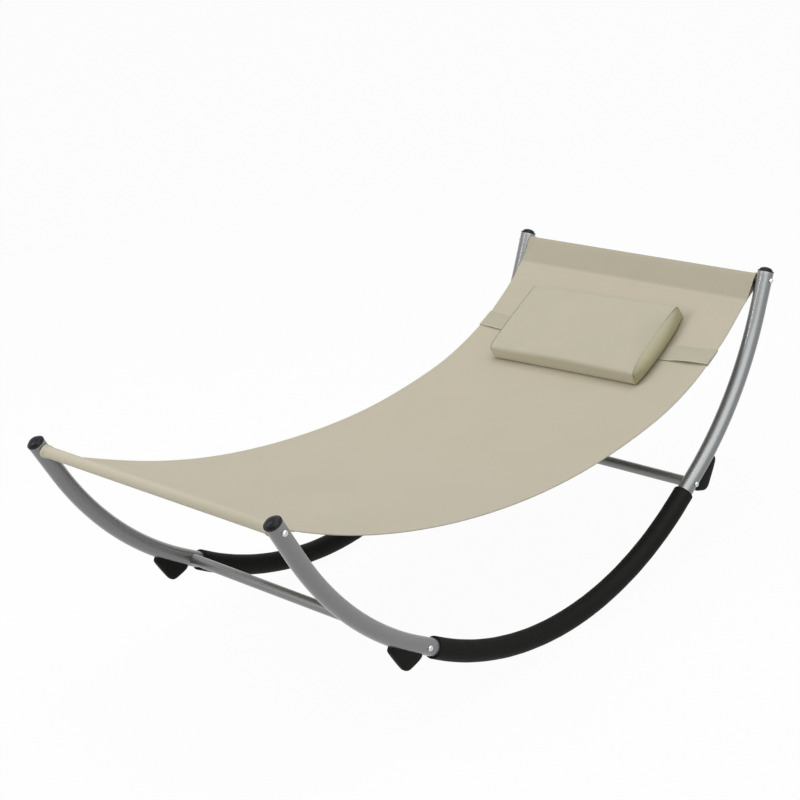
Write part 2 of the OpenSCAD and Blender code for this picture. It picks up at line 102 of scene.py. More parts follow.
@dataclass
class Shell:
    """A surface of quads and triangles, with the place of each corner on its cloth.

    points is (n, 3). quads and tris hold rows of point numbers, and quad_uv and tri_uv hold
    the same corners' places on the cloth, in metres.
    """

    points: np.ndarray
    quads: np.ndarray
    tris: np.ndarray
    quad_uv: np.ndarray
    tri_uv: np.ndarray

    @classmethod
    def from_grid(
        cls,
        grid: np.ndarray,
        closed: tuple[bool, bool] = (False, False),
        ends: Closing = Closing.OPEN,
        uv: Union[np.ndarray, None] = None,
    ) -> "Shell":
        """Faces between the neighbours of a grid of points.

        Args:
            grid: points, (rows, columns, 3).
            closed: whether the last row meets the first, and the last column the first.
            ends: how the first and last rows are closed. A fan meets at the row's middle, and
                a strip joins each half of a flat ring to its other half.
            uv: places on the cloth, with one more row or column where the grid is closed.

        Returns:
            The shell, turned so that its faces look outwards.
        """
        rows, cols = grid.shape[:2]
        points = grid.reshape(-1, 3)
        index = np.arange(rows * cols).reshape(rows, cols)
        index = np.concatenate([index, index[:1]], 0) if closed[0] else index
        index = np.concatenate([index, index[:, :1]], 1) if closed[1] else index
        if uv is None:
            uv = np.stack(np.meshgrid(*(np.linspace(0, 1, n) for n in index.shape), indexing="ij"), -1)
        quads = cls._corners(index)
        quad_uv = cls._corners(uv)
        tris, tri_uv = np.zeros((0, 3), int), np.zeros((0, 3, 2))
        if ends is Closing.FAN:
            count = len(points)
            points = np.concatenate([points, grid[[0, -1]].mean(1)])
            first = np.stack([np.full(cols, count), index[0, 1:], index[0, :-1]], -1)
            last = np.stack([np.full(cols, count + 1), index[-1, :-1], index[-1, 1:]], -1)
            tris = np.concatenate([first, last])
            tri_uv = np.zeros((len(tris), 3, 2))
        if ends is Closing.STRIP:
            near, far = np.arange(cols // 2), cols - 1 - np.arange(cols // 2)
            first = index[0][np.stack([near[1:], near[:-1], far[:-1], far[1:]], -1)]
            last = index[-1][np.stack([near[:-1], near[1:], far[1:], far[:-1]], -1)]
            quads = np.concatenate([quads, first, last])
            quad_uv = np.concatenate([quad_uv, np.zeros((len(first) * 2, 4, 2))])
        return cls(points, quads, tris, quad_uv, tri_uv).outward()

    @staticmethod
    def _corners(table: np.ndarray) -> np.ndarray:
        """The four corners of each cell of a table, in order round the cell."""
        cells = np.stack([table[:-1, :-1], table[:-1, 1:], table[1:, 1:], table[1:, :-1]], 2)
        return cells.reshape((-1,) + cells.shape[2:])

    def volume(self) -> float:
        """Volume inside the faces, a sixth of the sum of each triangle's a . (b x c).

        Returns:
            The volume, below 0 where the faces are turned inwards.
        """
        t = np.concatenate([self.quads[:, [0, 1, 2]], self.quads[:, [0, 2, 3]], self.tris])
        a, b, c = (self.points[t[:, k]] for k in range(3))
        return float((a * np.cross(b, c)).sum() / 6)

    def outward(self) -> "Shell":
        """Turns the faces outwards, by the sign of the volume inside them.

        Returns:
            The shell itself, or a copy with its faces turned.
        """
        if self.volume() >= 0:
            return self
        return Shell(
            self.points,
            self.quads[:, ::-1],
            self.tris[:, ::-1],
            self.quad_uv[:, ::-1],
            self.tri_uv[:, ::-1],
        )

    @staticmethod
    def joined(shells: Sequence["Shell"]) -> "Shell":
        """Several shells as one."""
        starts = np.cumsum([0] + [len(s.points) for s in shells])
        return Shell(
            np.concatenate([s.points for s in shells]),
            np.concatenate([s.quads + n for s, n in zip(shells, starts)]),
            np.concatenate([s.tris + n for s, n in zip(shells, starts)]),
            np.concatenate([s.quad_uv for s in shells]),
            np.concatenate([s.tri_uv for s in shells]),
        )

    def placed(self, origins: np.ndarray, axes: np.ndarray) -> "Shell":
        """Copies of the shell: each point p becomes origin + p_x axis_x + p_y axis_y + p_z axis_z.

        Args:
            origins: the copies' origins, (k, 3).
            axes: the copies' three axes as rows, (k, 3, 3).

        Returns:
            All the copies as one shell.
        """
        k, n = len(origins), len(self.points)
        points = origins[:, None] + np.einsum("pi,kij->kpj", self.points, axes)
        step = (np.arange(k) * n)[:, None, None]
        copies = Shell(
            points.reshape(-1, 3),
            (self.quads + step).reshape(-1, 4),
            (self.tris + step).reshape(-1, 3),
            np.tile(self.quad_uv, (k, 1, 1)),
            np.tile(self.tri_uv, (k, 1, 1)),
        )
        return copies.outward()

    def to_object(self, name: str, material: Material, flat: float = 0.0) -> Piece:
        """A mesh object of the shell.

        Args:
            name: the piece's name.
            material: its finish.
            flat: where it isn't 0, edges sharper than this many degrees stay sharp.

        Returns:
            The new object, at the origin.
        """
        mesh = bpy.data.meshes.new(name)
        mesh.vertices.add(len(self.points))
        mesh.vertices.foreach_set("co", self.points.astype(np.float32).ravel())
        corners = np.concatenate([self.quads.ravel(), self.tris.ravel()]).astype(np.int32)
        mesh.loops.add(len(corners))
        mesh.loops.foreach_set("vertex_index", corners)
        quad_starts = np.arange(len(self.quads)) * 4
        tri_starts = len(self.quads) * 4 + np.arange(len(self.tris)) * 3
        starts = np.concatenate([quad_starts, tri_starts]).astype(np.int32)
        mesh.polygons.add(len(starts))
        mesh.polygons.foreach_set("loop_start", starts)
        mesh.update(calc_edges=True)
        mesh.validate()
        mesh.polygons.foreach_set("use_smooth", np.ones(len(starts), bool))
        layer = mesh.uv_layers.new(name="cloth")
        places = np.concatenate([self.quad_uv.reshape(-1, 2), self.tri_uv.reshape(-1, 2)])
        layer.data.foreach_set("uv", places.astype(np.float32).ravel())
        if flat:
            mesh.set_sharp_from_angle(angle=math.radians(flat))
        mesh.materials.append(material)
        piece = bpy.data.objects.new(name, mesh)
        bpy.context.scene.collection.objects.link(piece)
        return piece


def rounded_loop(s0: float, s1: float, r0: float, r1: float, edge: float, steps: int) -> np.ndarray:
    """Section of a wall as a closed loop of (length, radius), with rounded corners.

    Args:
        s0: length at which the wall begins.
        s1: length at which it ends.
        r0: inner radius.
        r1: outer radius.
        edge: radius of the corners.
        steps: points along each side of the wall.

    Returns:
        The loop, (n, 2): out along the outer side and back along the inner one.
    """
    turn = np.linspace(0, math.pi / 2, CORNER_STEPS)
    along = np.linspace(s0 + edge, s1 - edge, steps)[1:-1]
    outer = np.stack([along, np.full(len(along), r1)], -1)
    inner = np.stack([along[::-1], np.full(len(along), r0)], -1)
    quarters = (
        (s1 - edge, r1 - edge, 0.0),
        (s1 - edge, r0 + edge, -math.pi / 2),
        (s0 + edge, r0 + edge, -math.pi),
        (s0 + edge, r1 - edge, math.pi / 2),
    )
    corners = [
        np.stack([s + edge * np.cos(start + turn), r + edge * np.sin(start + turn)], -1)[::-1]
        for s, r, start in quarters
    ]
    return np.concatenate([outer, *corners[:2], inner, *corners[2:]])


def mark(piece: Piece, name: str, values: np.ndarray) -> None:
    """Stores a number at each point of a piece, under a name that its material can read."""
    layer = piece.data.attributes.new(name, "FLOAT", "POINT")
    layer.data.foreach_set("value", values.astype(np.float32).ravel())


def lengths_along(line: np.ndarray) -> np.ndarray:
    """Length along a line of points, (n, k), from the first to each of them."""
    steps = np.linalg.norm(np.diff(line, axis=0), axis=1)
    return np.concatenate([[0], np.cumsum(steps)])


def vertex_table(mesh: bpy.types.Mesh, name: str) -> np.ndarray:
    """Reads three numbers of each vertex.

    Args:
        mesh: the mesh.
        name: co for the places, or normal for the normals.

    Returns:
        The table, (n, 3).
    """
    table = np.empty(len(mesh.vertices) * 3, np.float32)
    mesh.vertices.foreach_get(name, table)
    return table.reshape(-1, 3).astype(float)


def bump_at(x: np.ndarray, centre: float, width: float) -> np.ndarray:
    """A smooth hump of height 1, exp(-((x - centre) / width)^2)."""
    return np.exp(-(((x - centre) / width) ** 2))


def ease(x: np.ndarray, start: float, end: float) -> np.ndarray:
    """0 before start, 1 after end, and t^2 (3 - 2 t) between them."""
    t = np.clip((x - start) / (end - start), 0, 1)
    return t * t * (3 - 2 * t)


# Materials


class Value:
    """A number that changes over a surface. Arithmetic on it adds Math nodes."""

    def __init__(self, shader: "Shader", socket: Socket) -> None:
        """Wraps a shader's socket."""
        self.shader, self.socket = shader, socket

    def __add__(self, other: "Number") -> "Value":
        """self + other."""
        return self.shader.math("ADD", self, other)

    __radd__ = __add__

    def __sub__(self, other: "Number") -> "Value":
        """self - other."""
        return self.shader.math("SUBTRACT", self, other)

    def __rsub__(self, other: "Number") -> "Value":
        """other - self."""
        return self.shader.math("SUBTRACT", other, self)

    def __mul__(self, other: "Number") -> "Value":
        """self * other."""
        return self.shader.math("MULTIPLY", self, other)

    __rmul__ = __mul__

    def __abs__(self) -> "Value":
        """The distance from 0."""
        return self.shader.math("ABSOLUTE", self)

    def __gt__(self, other: "Number") -> "Value":
        """1 where self is greater than other, else 0."""
        return self.shader.math("GREATER_THAN", self, other)

    def sine(self) -> "Value":
        """The sine."""
        return self.shader.math("SINE", self)

    def limited(self) -> "Value":
        """Kept between 0 and 1."""
        return self.shader.math("MAXIMUM", self.shader.math("MINIMUM", self, 1.0), 0.0)


Number = Union[Value, float]


def shade(red: int, green: int, blue: int) -> Colour:
    """A colour as the shader takes it, from the 0 to 255 values that a screen shows.

    Each value c of 0 to 1 becomes ((c + 0.055) / 1.055)^2.4, or c / 12.92 near black.

    Args:
        red: the red value.
        green: the green value.
        blue: the blue value.

    Returns:
        The colour, each part 0 to 1.
    """
    c = np.array([red, green, blue]) / 255
    line = np.where(c <= 0.04045, c / 12.92, ((c + 0.055) / 1.055) ** 2.4)
    return tuple(float(v) for v in line)


class Shader:
    """Builds one material on a Principled BSDF."""

    def __init__(self, name: str, **constants: Union[float, Colour]) -> None:
        """Starts a material.

        Args:
            name: the material's name.
            constants: values of the BSDF's sockets that are the same all over, with _ for a space.
        """
        self.material = bpy.data.materials.new(name)
        self.material.use_nodes = True
        self.tree = self.material.node_tree
        self.tree.nodes.clear()
        words = {key.replace("_", " "): value for key, value in constants.items()}
        self.bsdf = self.node("ShaderNodeBsdfPrincipled", {}, words)
        self.node("ShaderNodeOutputMaterial", {}, {"Surface": self.bsdf.outputs["BSDF"]})

    def node(self, kind: str, settings: dict, inputs: dict) -> bpy.types.Node:
        """Adds a node.

        Args:
            kind: the node's type.
            settings: its properties, set first.
            inputs: values or links of its sockets, by name or number.

        Returns:
            The node.
        """
        node = self.tree.nodes.new(kind)
        for key, value in settings.items():
            setattr(node, key, value)
        for key, value in inputs.items():
            socket = node.inputs[key]
            if isinstance(value, Value):
                value = value.socket
            if isinstance(value, Socket):
                self.tree.links.new(value, socket)
            elif isinstance(value, tuple) and len(value) == 3 and len(socket.default_value) == 4:
                socket.default_value = (*value, 1.0)
            else:
                socket.default_value = value
        return node

    def marked(self, name: str) -> Value:
        """The number stored at the surface's points under a name, or 0 where there is none."""
        settings = {"attribute_name": name, "attribute_type": "GEOMETRY"}
        return Value(self, self.node("ShaderNodeAttribute", settings, {}).outputs["Fac"])

    def tinted(self, share: Number, colour: Socket, tint: Colour) -> Socket:
        """A colour multiplied by a tint where share is 1, and as it was where share is 0."""
        settings = {"data_type": "RGBA", "blend_type": "MULTIPLY"}
        return self.node("ShaderNodeMix", settings, {0: share, 6: colour, 7: tint}).outputs[2]

    def math(self, operation: str, *values: Number) -> Value:
        """The result of a Math node on one or two values."""
        inputs = dict(enumerate(values))
        return Value(self, self.node("ShaderNodeMath", {"operation": operation}, inputs).outputs[0])

    def on_object(self) -> Socket:
        """Places in the part's own space, in metres."""
        return self.node("ShaderNodeTexCoord", {}, {}).outputs["Object"]

    def on_cloth(self) -> Socket:
        """Places on the piece's cloth, in metres."""
        return self.node("ShaderNodeUVMap", {"uv_map": "cloth"}, {}).outputs["UV"]

    def part_of(self, place: Socket, axis: str) -> Value:
        """One coordinate of a place."""
        return Value(self, self.node("ShaderNodeSeparateXYZ", {}, {0: place}).outputs[axis])

    def noise(self, place: Socket, size: float, detail: float = 2.0, warp: float = 0.0) -> Value:
        """Smooth noise of 0 to 1 whose lumps are about size metres."""
        inputs = {"Vector": place, "Scale": 1 / size, "Detail": detail, "Distortion": warp}
        return Value(self, self.node("ShaderNodeTexNoise", {}, inputs).outputs["Fac"])

    def stretched(self, place: Socket, scale: Triple) -> Socket:
        """A place with each coordinate multiplied by its own scale."""
        return self.node("ShaderNodeMapping", {}, {"Vector": place, "Scale": scale}).outputs[0]

    def blend(self, share: Number, one: Colour, other: Colour) -> Socket:
        """The colour that goes from one to other as share goes from 0 to 1."""
        inputs = {0: share, 6: one, 7: other}
        return self.node("ShaderNodeMix", {"data_type": "RGBA"}, inputs).outputs[2]

    def relief(self, height: Value, depth: float) -> None:
        """Raises the surface by height times depth metres, in its normals."""
        inputs = {"Height": height, "Distance": depth, "Strength": 1.0}
        self.feed("Normal", self.node("ShaderNodeBump", {}, inputs).outputs["Normal"])

    def feed(self, name: str, value: Union[Value, Socket]) -> None:
        """Links a value or colour to a socket of the BSDF."""
        source = value.socket if isinstance(value, Value) else value
        self.tree.links.new(source, self.bsdf.inputs[name])


def scaled(colour: Colour, factor: float) -> Colour:
    """A colour made factor times as bright, and no brighter than white."""
    return tuple(min(1.0, c * factor) for c in colour)


@dataclass(frozen=True)
class PowderCoat:
    """Silver-grey baked powder paint with a fine orange peel under a clear coat."""

    colour: Colour = shade(120, 120, 120)
    roughness: float = 0.45
    cloud: float = 60 * MM
    flake: float = 0.35 * MM
    peel: float = 1.2 * MM
    peel_depth: float = 0.003 * MM

    def build(self) -> Material:
        """Makes the material: broad clouds and fine flakes change its grey and its gloss a little.

        Returns:
            The new material.
        """
        gloss = {"Metallic": 0.85, "Specular_IOR_Level": 0.4, "Coat_Weight": 0.8, "Coat_Roughness": 0.08}
        shader = Shader("powder_coat", **gloss)
        place = shader.on_object()
        broad, fine = shader.noise(place, self.cloud), shader.noise(place, self.peel, 1.0)
        flake = shader.noise(place, self.flake, 0.0)
        dark, light = scaled(self.colour, 0.93), scaled(self.colour, 1.06)
        shader.feed("Base Color", shader.blend(broad * 0.6 + flake * 0.4, dark, light))
        shader.feed("Roughness", self.roughness + broad * 0.04 + flake * 0.04)
        shader.relief(fine, self.peel_depth)
        return shader.material


@dataclass(frozen=True)
class SoftSleeve:
    """Matt black foamed rubber with fine closed cells."""

    colour: Colour = shade(15, 15, 12)
    roughness: float = 0.58
    cell: float = 0.9 * MM
    cell_depth: float = 0.12 * MM
    rub: float = 45 * MM

    def build(self) -> Material:
        """Makes the material: the cells and the rubbed places are lighter, and the latter duller.

        Returns:
            The new material.
        """
        shader = Shader("soft_sleeve", Specular_IOR_Level=0.12)
        place = shader.on_object()
        cells, rub = shader.noise(place, self.cell, 3.0), shader.noise(place, self.rub, 3.0)
        light = scaled(self.colour, 1.5)
        shader.feed("Base Color", shader.blend(cells * 0.5 + rub * 0.5, self.colour, light))
        shader.feed("Roughness", self.roughness + rub * 0.14)
        shader.relief(cells, self.cell_depth)
        return shader.material


@dataclass(frozen=True)
class Moulded:
    """Moulded black plastic or rubber, with a fine spark-eroded grain."""

    name: str
    colour: Colour
    roughness: float
    gloss: float
    grain_depth: float = 0.06 * MM
    grain: float = 0.5 * MM
    cloud: float = 12 * MM

    def build(self) -> Material:
        """Makes the material: broad clouds make it lighter and duller in places.

        Returns:
            The new material.
        """
        shader = Shader(self.name, Specular_IOR_Level=self.gloss)
        place = shader.on_object()
        grain, broad = shader.noise(place, self.grain, 2.0), shader.noise(place, self.cloud)
        shader.feed("Base Color", shader.blend(broad, self.colour, scaled(self.colour, 1.35)))
        shader.feed("Roughness", self.roughness + broad * 0.08)
        shader.relief(grain, self.grain_depth)
        return shader.material


@dataclass(frozen=True)
class PlatedMetal:
    """Plated or turned metal with faint scratches."""

    name: str
    colour: Colour
    roughness: float
    cloud: float = 4 * MM
    scratch: float = 0.8 * MM
    scratch_depth: float = 0.02 * MM

    def build(self) -> Material:
        """Makes the material: the scratches are noise drawn out across Z.

        Returns:
            The new material.
        """
        shader = Shader(self.name, Metallic=1.0)
        place = shader.on_object()
        cloud = shader.noise(place, self.cloud, 3.0)
        scratches = shader.noise(shader.stretched(place, (1.0, 1.0, 7.0)), self.scratch, 2.0)
        shader.feed("Base Color", shader.blend(cloud, scaled(self.colour, 0.82), self.colour))
        shader.feed("Roughness", self.roughness + scratches * 0.12)
        shader.relief(scratches, self.scratch_depth)
        return shader.material


@dataclass(frozen=True)
class WovenCloth:
    """Plain-woven polyester cloth: warp and weft cross over and under at an even pitch.

    Its colour goes between warm and cool in broad clouds. Where a piece's points are marked
    with a share, the colour is multiplied by marked to that share: a painted shade on the
    sling's head tunnel and on the lower part of the pillow's gussets, and a painted highlight
    along the strap's front edge.
    """

    name: str
    warm: Colour
    cool: Colour
    # Painted shade for the sling's head tunnel.
    marked: Colour = (0.84, 0.85, 0.83)
    # Painted shade in the weave's low places, between the threads.
    shade_between_threads: Colour = (0.62, 0.60, 0.56)
    pitch: float = 0.9 * MM
    mottle: float = 150 * MM
    slub: float = 1.2 * MM
    depth: float = 0.10 * MM

    def weave(self, shader: Shader, place: Socket) -> Value:
        """Height of the weave, 0 to 1.

        Threads run along both axes. The one on top alternates like a chessboard, which the sign
        of sin(pi u / p) sin(pi v / p) gives, and each is as high as its own sine.

        Args:
            shader: the material's shader.
            place: places on the cloth.

        Returns:
            The height.
        """
        u = (shader.part_of(place, "X") * (math.pi / self.pitch)).sine()
        v = (shader.part_of(place, "Y") * (math.pi / self.pitch)).sine()
        warp_on_top = (u * v) > 0.0
        return abs(u) * warp_on_top + abs(v) * (1.0 - warp_on_top)

    def build(self) -> Material:
        """Makes the material.

        Returns:
            The new material.
        """
        shader = Shader(self.name, Sheen_Weight=0.06, Sheen_Roughness=0.45, Specular_IOR_Level=0.3)
        place = shader.on_cloth()
        weave = self.weave(shader, place)
        slub = shader.noise(shader.stretched(place, (1.0, 0.06, 1.0)), self.slub, 2.0)
        cloud = shader.noise(shader.on_object(), self.mottle, 2.0, 0.3)
        spread = ((cloud - 0.5) * 2.2 + 0.5).limited()
        tint = shader.blend((spread * 0.8 + slub * 0.2).limited(), self.cool, self.warm)
        # Painted shade: the weave's low places between the threads are darkened.
        dark = shader.tinted(((1.0 - weave) * 0.16).limited(), tint, self.shade_between_threads)
        # The marked share multiplies in painted shade on the sling and pillow and a painted highlight on
        # the strap.
        shader.feed("Base Color", shader.tinted(shader.marked("share"), dark, self.marked))
        shader.feed("Roughness", 0.72 + slub * 0.14)
        shader.relief(weave * 0.8 + slub * 0.2, self.depth)
        return shader.material


@dataclass(frozen=True)
class Thread:
    """Twisted polyester sewing thread."""

    name: str
    colour: Colour
    twist: float = 0.3 * MM
    depth: float = 0.05 * MM

    def build(self) -> Material:
        """Makes the material.

        Returns:
            The new material.
        """
        shader = Shader(self.name, Sheen_Weight=0.3, IOR=1.5)
        twist = shader.noise(shader.on_object(), self.twist, 1.0)
        shader.feed("Base Color", shader.blend(twist, self.colour, scaled(self.colour, 1.4)))
        shader.feed("Roughness", 0.6 + twist * 0.2)
        shader.relief(twist, self.depth)
        return shader.material


class Finishes:
    """All the chair's finishes, built once."""

    def __init__(self) -> None:
        """Builds the materials."""
        # Painted shade for the pillow's gussets, darker and yellower, and a painted highlight for the
        # strap's front edge.
        gusset, painted_edge_highlight = (0.90, 0.90, 0.70), (1.22, 1.22, 1.25)
        pillow = shade(195, 188, 168), shade(191, 186, 164)
        strap = shade(190, 185, 164), shade(185, 181, 160)
        self.paint = PowderCoat().build()
        self.sleeve = SoftSleeve().build()
        self.cap = Moulded("cap_plastic", shade(18, 18, 22), 0.32, 0.16, 0.03 * MM).build()
        self.stop = Moulded("stop_rubber", shade(16, 15, 12), 0.62, 0.12).build()
        self.zinc = PlatedMetal("zinc_plate", shade(214, 216, 216), 0.22).build()
        self.insert = PlatedMetal("turned_insert", shade(176, 160, 110), 0.32).build()
        self.sling = WovenCloth("sling_cloth", shade(200, 191, 171), shade(195, 188, 167)).build()
        self.pillow = WovenCloth("pillow_cloth", *pillow, marked=gusset, mottle=90 * MM).build()
        self.strap = WovenCloth("strap_cloth", *strap, marked=painted_edge_highlight, mottle=60 * MM).build()
        self.thread = Thread("sling_thread", shade(172, 165, 144)).build()
        # Very dark: partly the thread's own colour, partly a painted seam shadow.
        self.dark_thread_and_seam_shadow = Thread("pillow_thread", shade(58, 50, 34)).build()


# Lines that the pieces take their places from


@dataclass(frozen=True)
class RailLine:
    """The middle line of both rails, in a rail's own plane.

    s is the length along it from its lowest point, below 0 towards the foot. It is an arc, a
    straight stretch, a second arc and a straight end, the same towards either end. bar_s and
    joint_s are the places of the sling's bars and of the joints with the stretchers.
    """

    side_x: float = 368 * MM
    low_z: float = 23.3 * MM
    bend_r: float = 770 * MM
    floor_angle: float = math.radians(32.0)
    end_angle: float = math.radians(32.4)
    joint_straight: float = 70 * MM
    end_straight: float = 95 * MM
    bar_s: float = 1010.96 * MM
    joint_s: float = 485.54 * MM

    @property
    def tip(self) -> float:
        """Length from the lowest point to a rail's end."""
        bends = self.bend_r * (self.floor_angle + self.end_angle)
        return bends + self.joint_straight + self.end_straight

    def at(self, s: np.ndarray) -> tuple[np.ndarray, np.ndarray, np.ndarray]:
        """Places on the line.

        On the first arc y = r sin t and z = low + r (1 - cos t), with t = s / r; each later
        stretch adds its own y and z to where the last one ended.

        Args:
            s: lengths along the line.

        Returns:
            Y, Z and slope there.
        """
        r, low, high = self.bend_r, self.floor_angle, self.floor_angle + self.end_angle
        a = np.abs(s)
        t1 = np.minimum(a / r, low)
        a = a - r * t1
        run1 = np.minimum(a, self.joint_straight)
        a = a - run1
        t2 = np.minimum(a / r, self.end_angle)
        run2 = a - r * t2
        y1, z1 = r * np.sin(t1), r * (1 - np.cos(t1))
        y2, z2 = r * (np.sin(low + t2) - math.sin(low)), r * (math.cos(low) - np.cos(low + t2))
        y = y1 + run1 * math.cos(low) + y2 + run2 * math.cos(high)
        z = z1 + run1 * math.sin(low) + z2 + run2 * math.sin(high)
        side = np.where(s < 0, -1.0, 1.0)
        return side * y, self.low_z + z, side * (t1 + t2)

    def frame_at(self, x: float, s: np.ndarray) -> tuple[np.ndarray, np.ndarray, np.ndarray]:
        """Places on the line, with the directions along it and up into the curve.

        Args:
            x: where the line lies across the chair.
            s: lengths along it.

        Returns:
            Places, directions along and directions up, each (n, 3).
        """
        y, z, slope = self.at(np.asarray(s, float))
        zero = np.zeros_like(y)
        centre = np.stack([zero + x, y, z], -1)
        along = np.stack([zero, np.cos(slope), np.sin(slope)], -1)
        up = np.stack([zero, -np.sin(slope), np.cos(slope)], -1)
        return centre, along, up

    def turned(
        self, x: float, section: np.ndarray, segments: int, ends: Closing = Closing.OPEN
    ) -> Shell:
        """A section of (length, radius) carried round the line.

        Each point is centre(s) + r (cos a X + sin a up(s)).

        Args:
            x: where the line lies across the chair.
            section: the section's points, (n, 2), a closed loop where ends is OPEN.
            segments: steps round the line.
            ends: how the section's two ends are closed.

        Returns:
            The shell.
        """
        centre, _, up = self.frame_at(x, section[:, 0])
        a = np.arange(segments) * TURN / segments
        spoke = np.cos(a)[None, :, None] * ACROSS + np.sin(a)[None, :, None] * up[:, None]
        grid = centre[:, None] + section[:, 1][:, None, None] * spoke
        return Shell.from_grid(grid, closed=(ends is Closing.OPEN, True), ends=ends)


@dataclass
class HangingLine:
    """The middle line of the sling's cloth, from the foot bar to the head bar.

    It is a wide arc about its lowest point, a tighter arc that leaves it at a slope, and a
    straight stretch that ends at the head bar. d is the length along it from the foot bar.
    """

    bar: Pair = (786.397 * MM, 565.777 * MM)
    low: Pair = (95.5 * MM, 330.9 * MM)
    leave: float = math.radians(8.7)
    flat: float = 83.88 * MM
    wide_r: float = field(init=False)
    foot_slope: float = field(init=False)
    tight_r: float = field(init=False)
    centre: np.ndarray = field(init=False)
    head_slope: float = field(init=False)

    def __post_init__(self) -> None:
        """Works out both arcs.

        The wide arc passes through the foot bar: its radius is (run^2 + rise^2) / (2 rise). The
        tight one meets a straight stretch of the length flat: its radius is
        (span^2 - flat^2) / (2 span . up).
        """
        run, rise = self.bar[0] + self.low[0], self.bar[1] - self.low[1]
        self.wide_r = (run**2 + rise**2) / (2 * rise)
        self.foot_slope = -math.asin(run / self.wide_r)
        up = np.array([-math.sin(self.leave), math.cos(self.leave)])
        start = np.array(self.low) + self.wide_r * (np.array([0.0, 1.0]) - up)
        span = np.array(self.bar) - start
        self.tight_r = float((span @ span - self.flat**2) / (2 * span @ up))
        self.centre = start + self.tight_r * up
        reach = np.array(self.bar) - self.centre
        self.head_slope = math.atan2(reach[1], reach[0]) + math.atan2(self.tight_r, self.flat)

    @property
    def head_start(self) -> float:
        """Length at which the tight arc under the head begins."""
        return self.wide_r * (self.leave - self.foot_slope)

    @property
    def length(self) -> float:
        """Length from bar to bar."""
        return self.head_start + self.tight_r * (self.head_slope - self.leave) + self.flat

    def over(self, d: np.ndarray, x: np.ndarray, h: np.ndarray) -> np.ndarray:
        """Points on, over or under the line.

        On an arc the slope t grows as d / r, and the point is centre + (r - h) (sin t, -cos t).

        Args:
            d: lengths along the line.
            x: places across the chair.
            h: heights square to the line.

        Returns:
            The points, with (x, y, z) as the last axis.
        """
        d, x, h = np.broadcast_arrays(*(np.asarray(v, float) for v in (d, x, h)))
        t1 = self.foot_slope + np.minimum(d, self.head_start) / self.wide_r
        past = np.maximum(d - self.head_start, 0)
        arc = self.tight_r * (self.head_slope - self.leave)
        t2 = self.leave + np.minimum(past, arc) / self.tight_r
        run = np.maximum(past - arc, 0)
        on_wide = d <= self.head_start
        t = np.where(on_wide, t1, t2)
        r = np.where(on_wide, self.wide_r, self.tight_r)
        cy = np.where(on_wide, self.low[0], self.centre[0])
        cz = np.where(on_wide, self.low[1] + self.wide_r, self.centre[1])
        y = cy + (r - h) * np.sin(t) + run * np.cos(t)
        z = cz - (r - h) * np.cos(t) + run * np.sin(t)
        return np.stack([x, y, z], -1)


RAIL = RailLine()
HANG = HangingLine()


def finish_piece(piece: Piece, body: str, slot: str, *nodes: str) -> Piece:
    """Puts a piece on its body and hides the nodes that it stands for.

    Args:
        piece: the finished piece.
        body: the body that it rides.
        slot: its material slot; not used.
        nodes: the CAD nodes that it stands for, if any.

    Returns:
        The piece.
    """
    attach(piece, body)
    if nodes:
        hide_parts(*nodes)
    LOG.info("%s: %d faces, on %s", piece.name, len(piece.data.polygons), body)
    return piece


# Frame


@dataclass
class EndTubes:
    """The four bent tubes that rise from the rails' joints to their ends."""

    outer_r: float = 19 * MM
    wall: float = 1.5 * MM
    start: float = 437.34 * MM
    edge: float = 0.5 * MM
    along: int = 96
    around: int = 56

    def build(self, finishes: Finishes) -> None:
        """Makes each tube, hollow, with broken edges.

        Args:
            finishes: the chair's finishes.
        """
        inner_r = self.outer_r - self.wall
        section = rounded_loop(self.start, RAIL.tip, inner_r, self.outer_r, self.edge, self.along)
        for end in End:
            for side in Side:
                shell = RAIL.turned(side.value * RAIL.side_x, section * [end.value, 1], self.around)
                piece = shell.to_object(f"rail_{end.word}_{side.word}", finishes.paint)
                finish_piece(piece, "frame", "frame_paint", f"{end.word}_tube_{side.word}")


@dataclass
class FloorSleeves:
    """The soft sleeves over the rails' lowest stretch, which the chair rocks on."""

    inner_r: float = 19.2 * MM
    outer_r: float = 24 * MM
    end: float = 456.54 * MM
    rim: float = 2.4 * MM
    swell: float = 0.35 * MM
    on_floor: float = 60 * MM
    skin: float = 1 * MM
    waves: Pair = (41.0, 97.0)
    along: int = 170
    around: int = 56

    def build(self, finishes: Finishes) -> None:
        """Makes each sleeve, a little uneven as foam is, and pressed flat on the floor.

        Args:
            finishes: the chair's finishes.
        """
        section = rounded_loop(-self.end, self.end, self.inner_r, self.outer_r, self.rim, self.along)
        for side in Side:
            shell = RAIL.turned(side.value * RAIL.side_x, section, self.around)
            self.press(shell, side)
            piece = shell.to_object(f"sleeve_{side.word}", finishes.sleeve)
            finish_piece(piece, "frame", "sleeve_rubber", f"floor_sleeve_{side.word}")

    def press(self, shell: Shell, side: Side) -> None:
        """Draws the foam in by soft waves of swell, 0 to 1 times, and keeps it above the floor.

        The waves are 0.5 + 0.25 sin(s w1) + 0.25 sin(s w2), with w1 and w2 the two waves and
        each side at another phase. The stretch on the floor has none.

        Args:
            shell: the sleeve, which is changed.
            side: the side that it is on.
        """
        p = shell.points
        s = np.arctan2(p[:, 1], RAIL.bend_r - p[:, 2]) * RAIL.bend_r
        y, z, _ = RAIL.at(s)
        spoke = p - np.stack([np.full(len(s), side.value * RAIL.side_x), y, z], -1)
        r = np.linalg.norm(spoke, axis=1)
        outer = ease(r, self.inner_r + self.skin, self.outer_r - self.skin)
        slow, fast = self.waves
        wave = 0.5 + 0.25 * np.sin(s * slow + side.value) + 0.25 * np.sin(s * fast + 2 * side.value)
        p -= spoke / r[:, None] * (self.swell * wave * outer * (np.abs(s) > self.on_floor))[:, None]
        p[:, 2] = np.maximum(p[:, 2], 0)


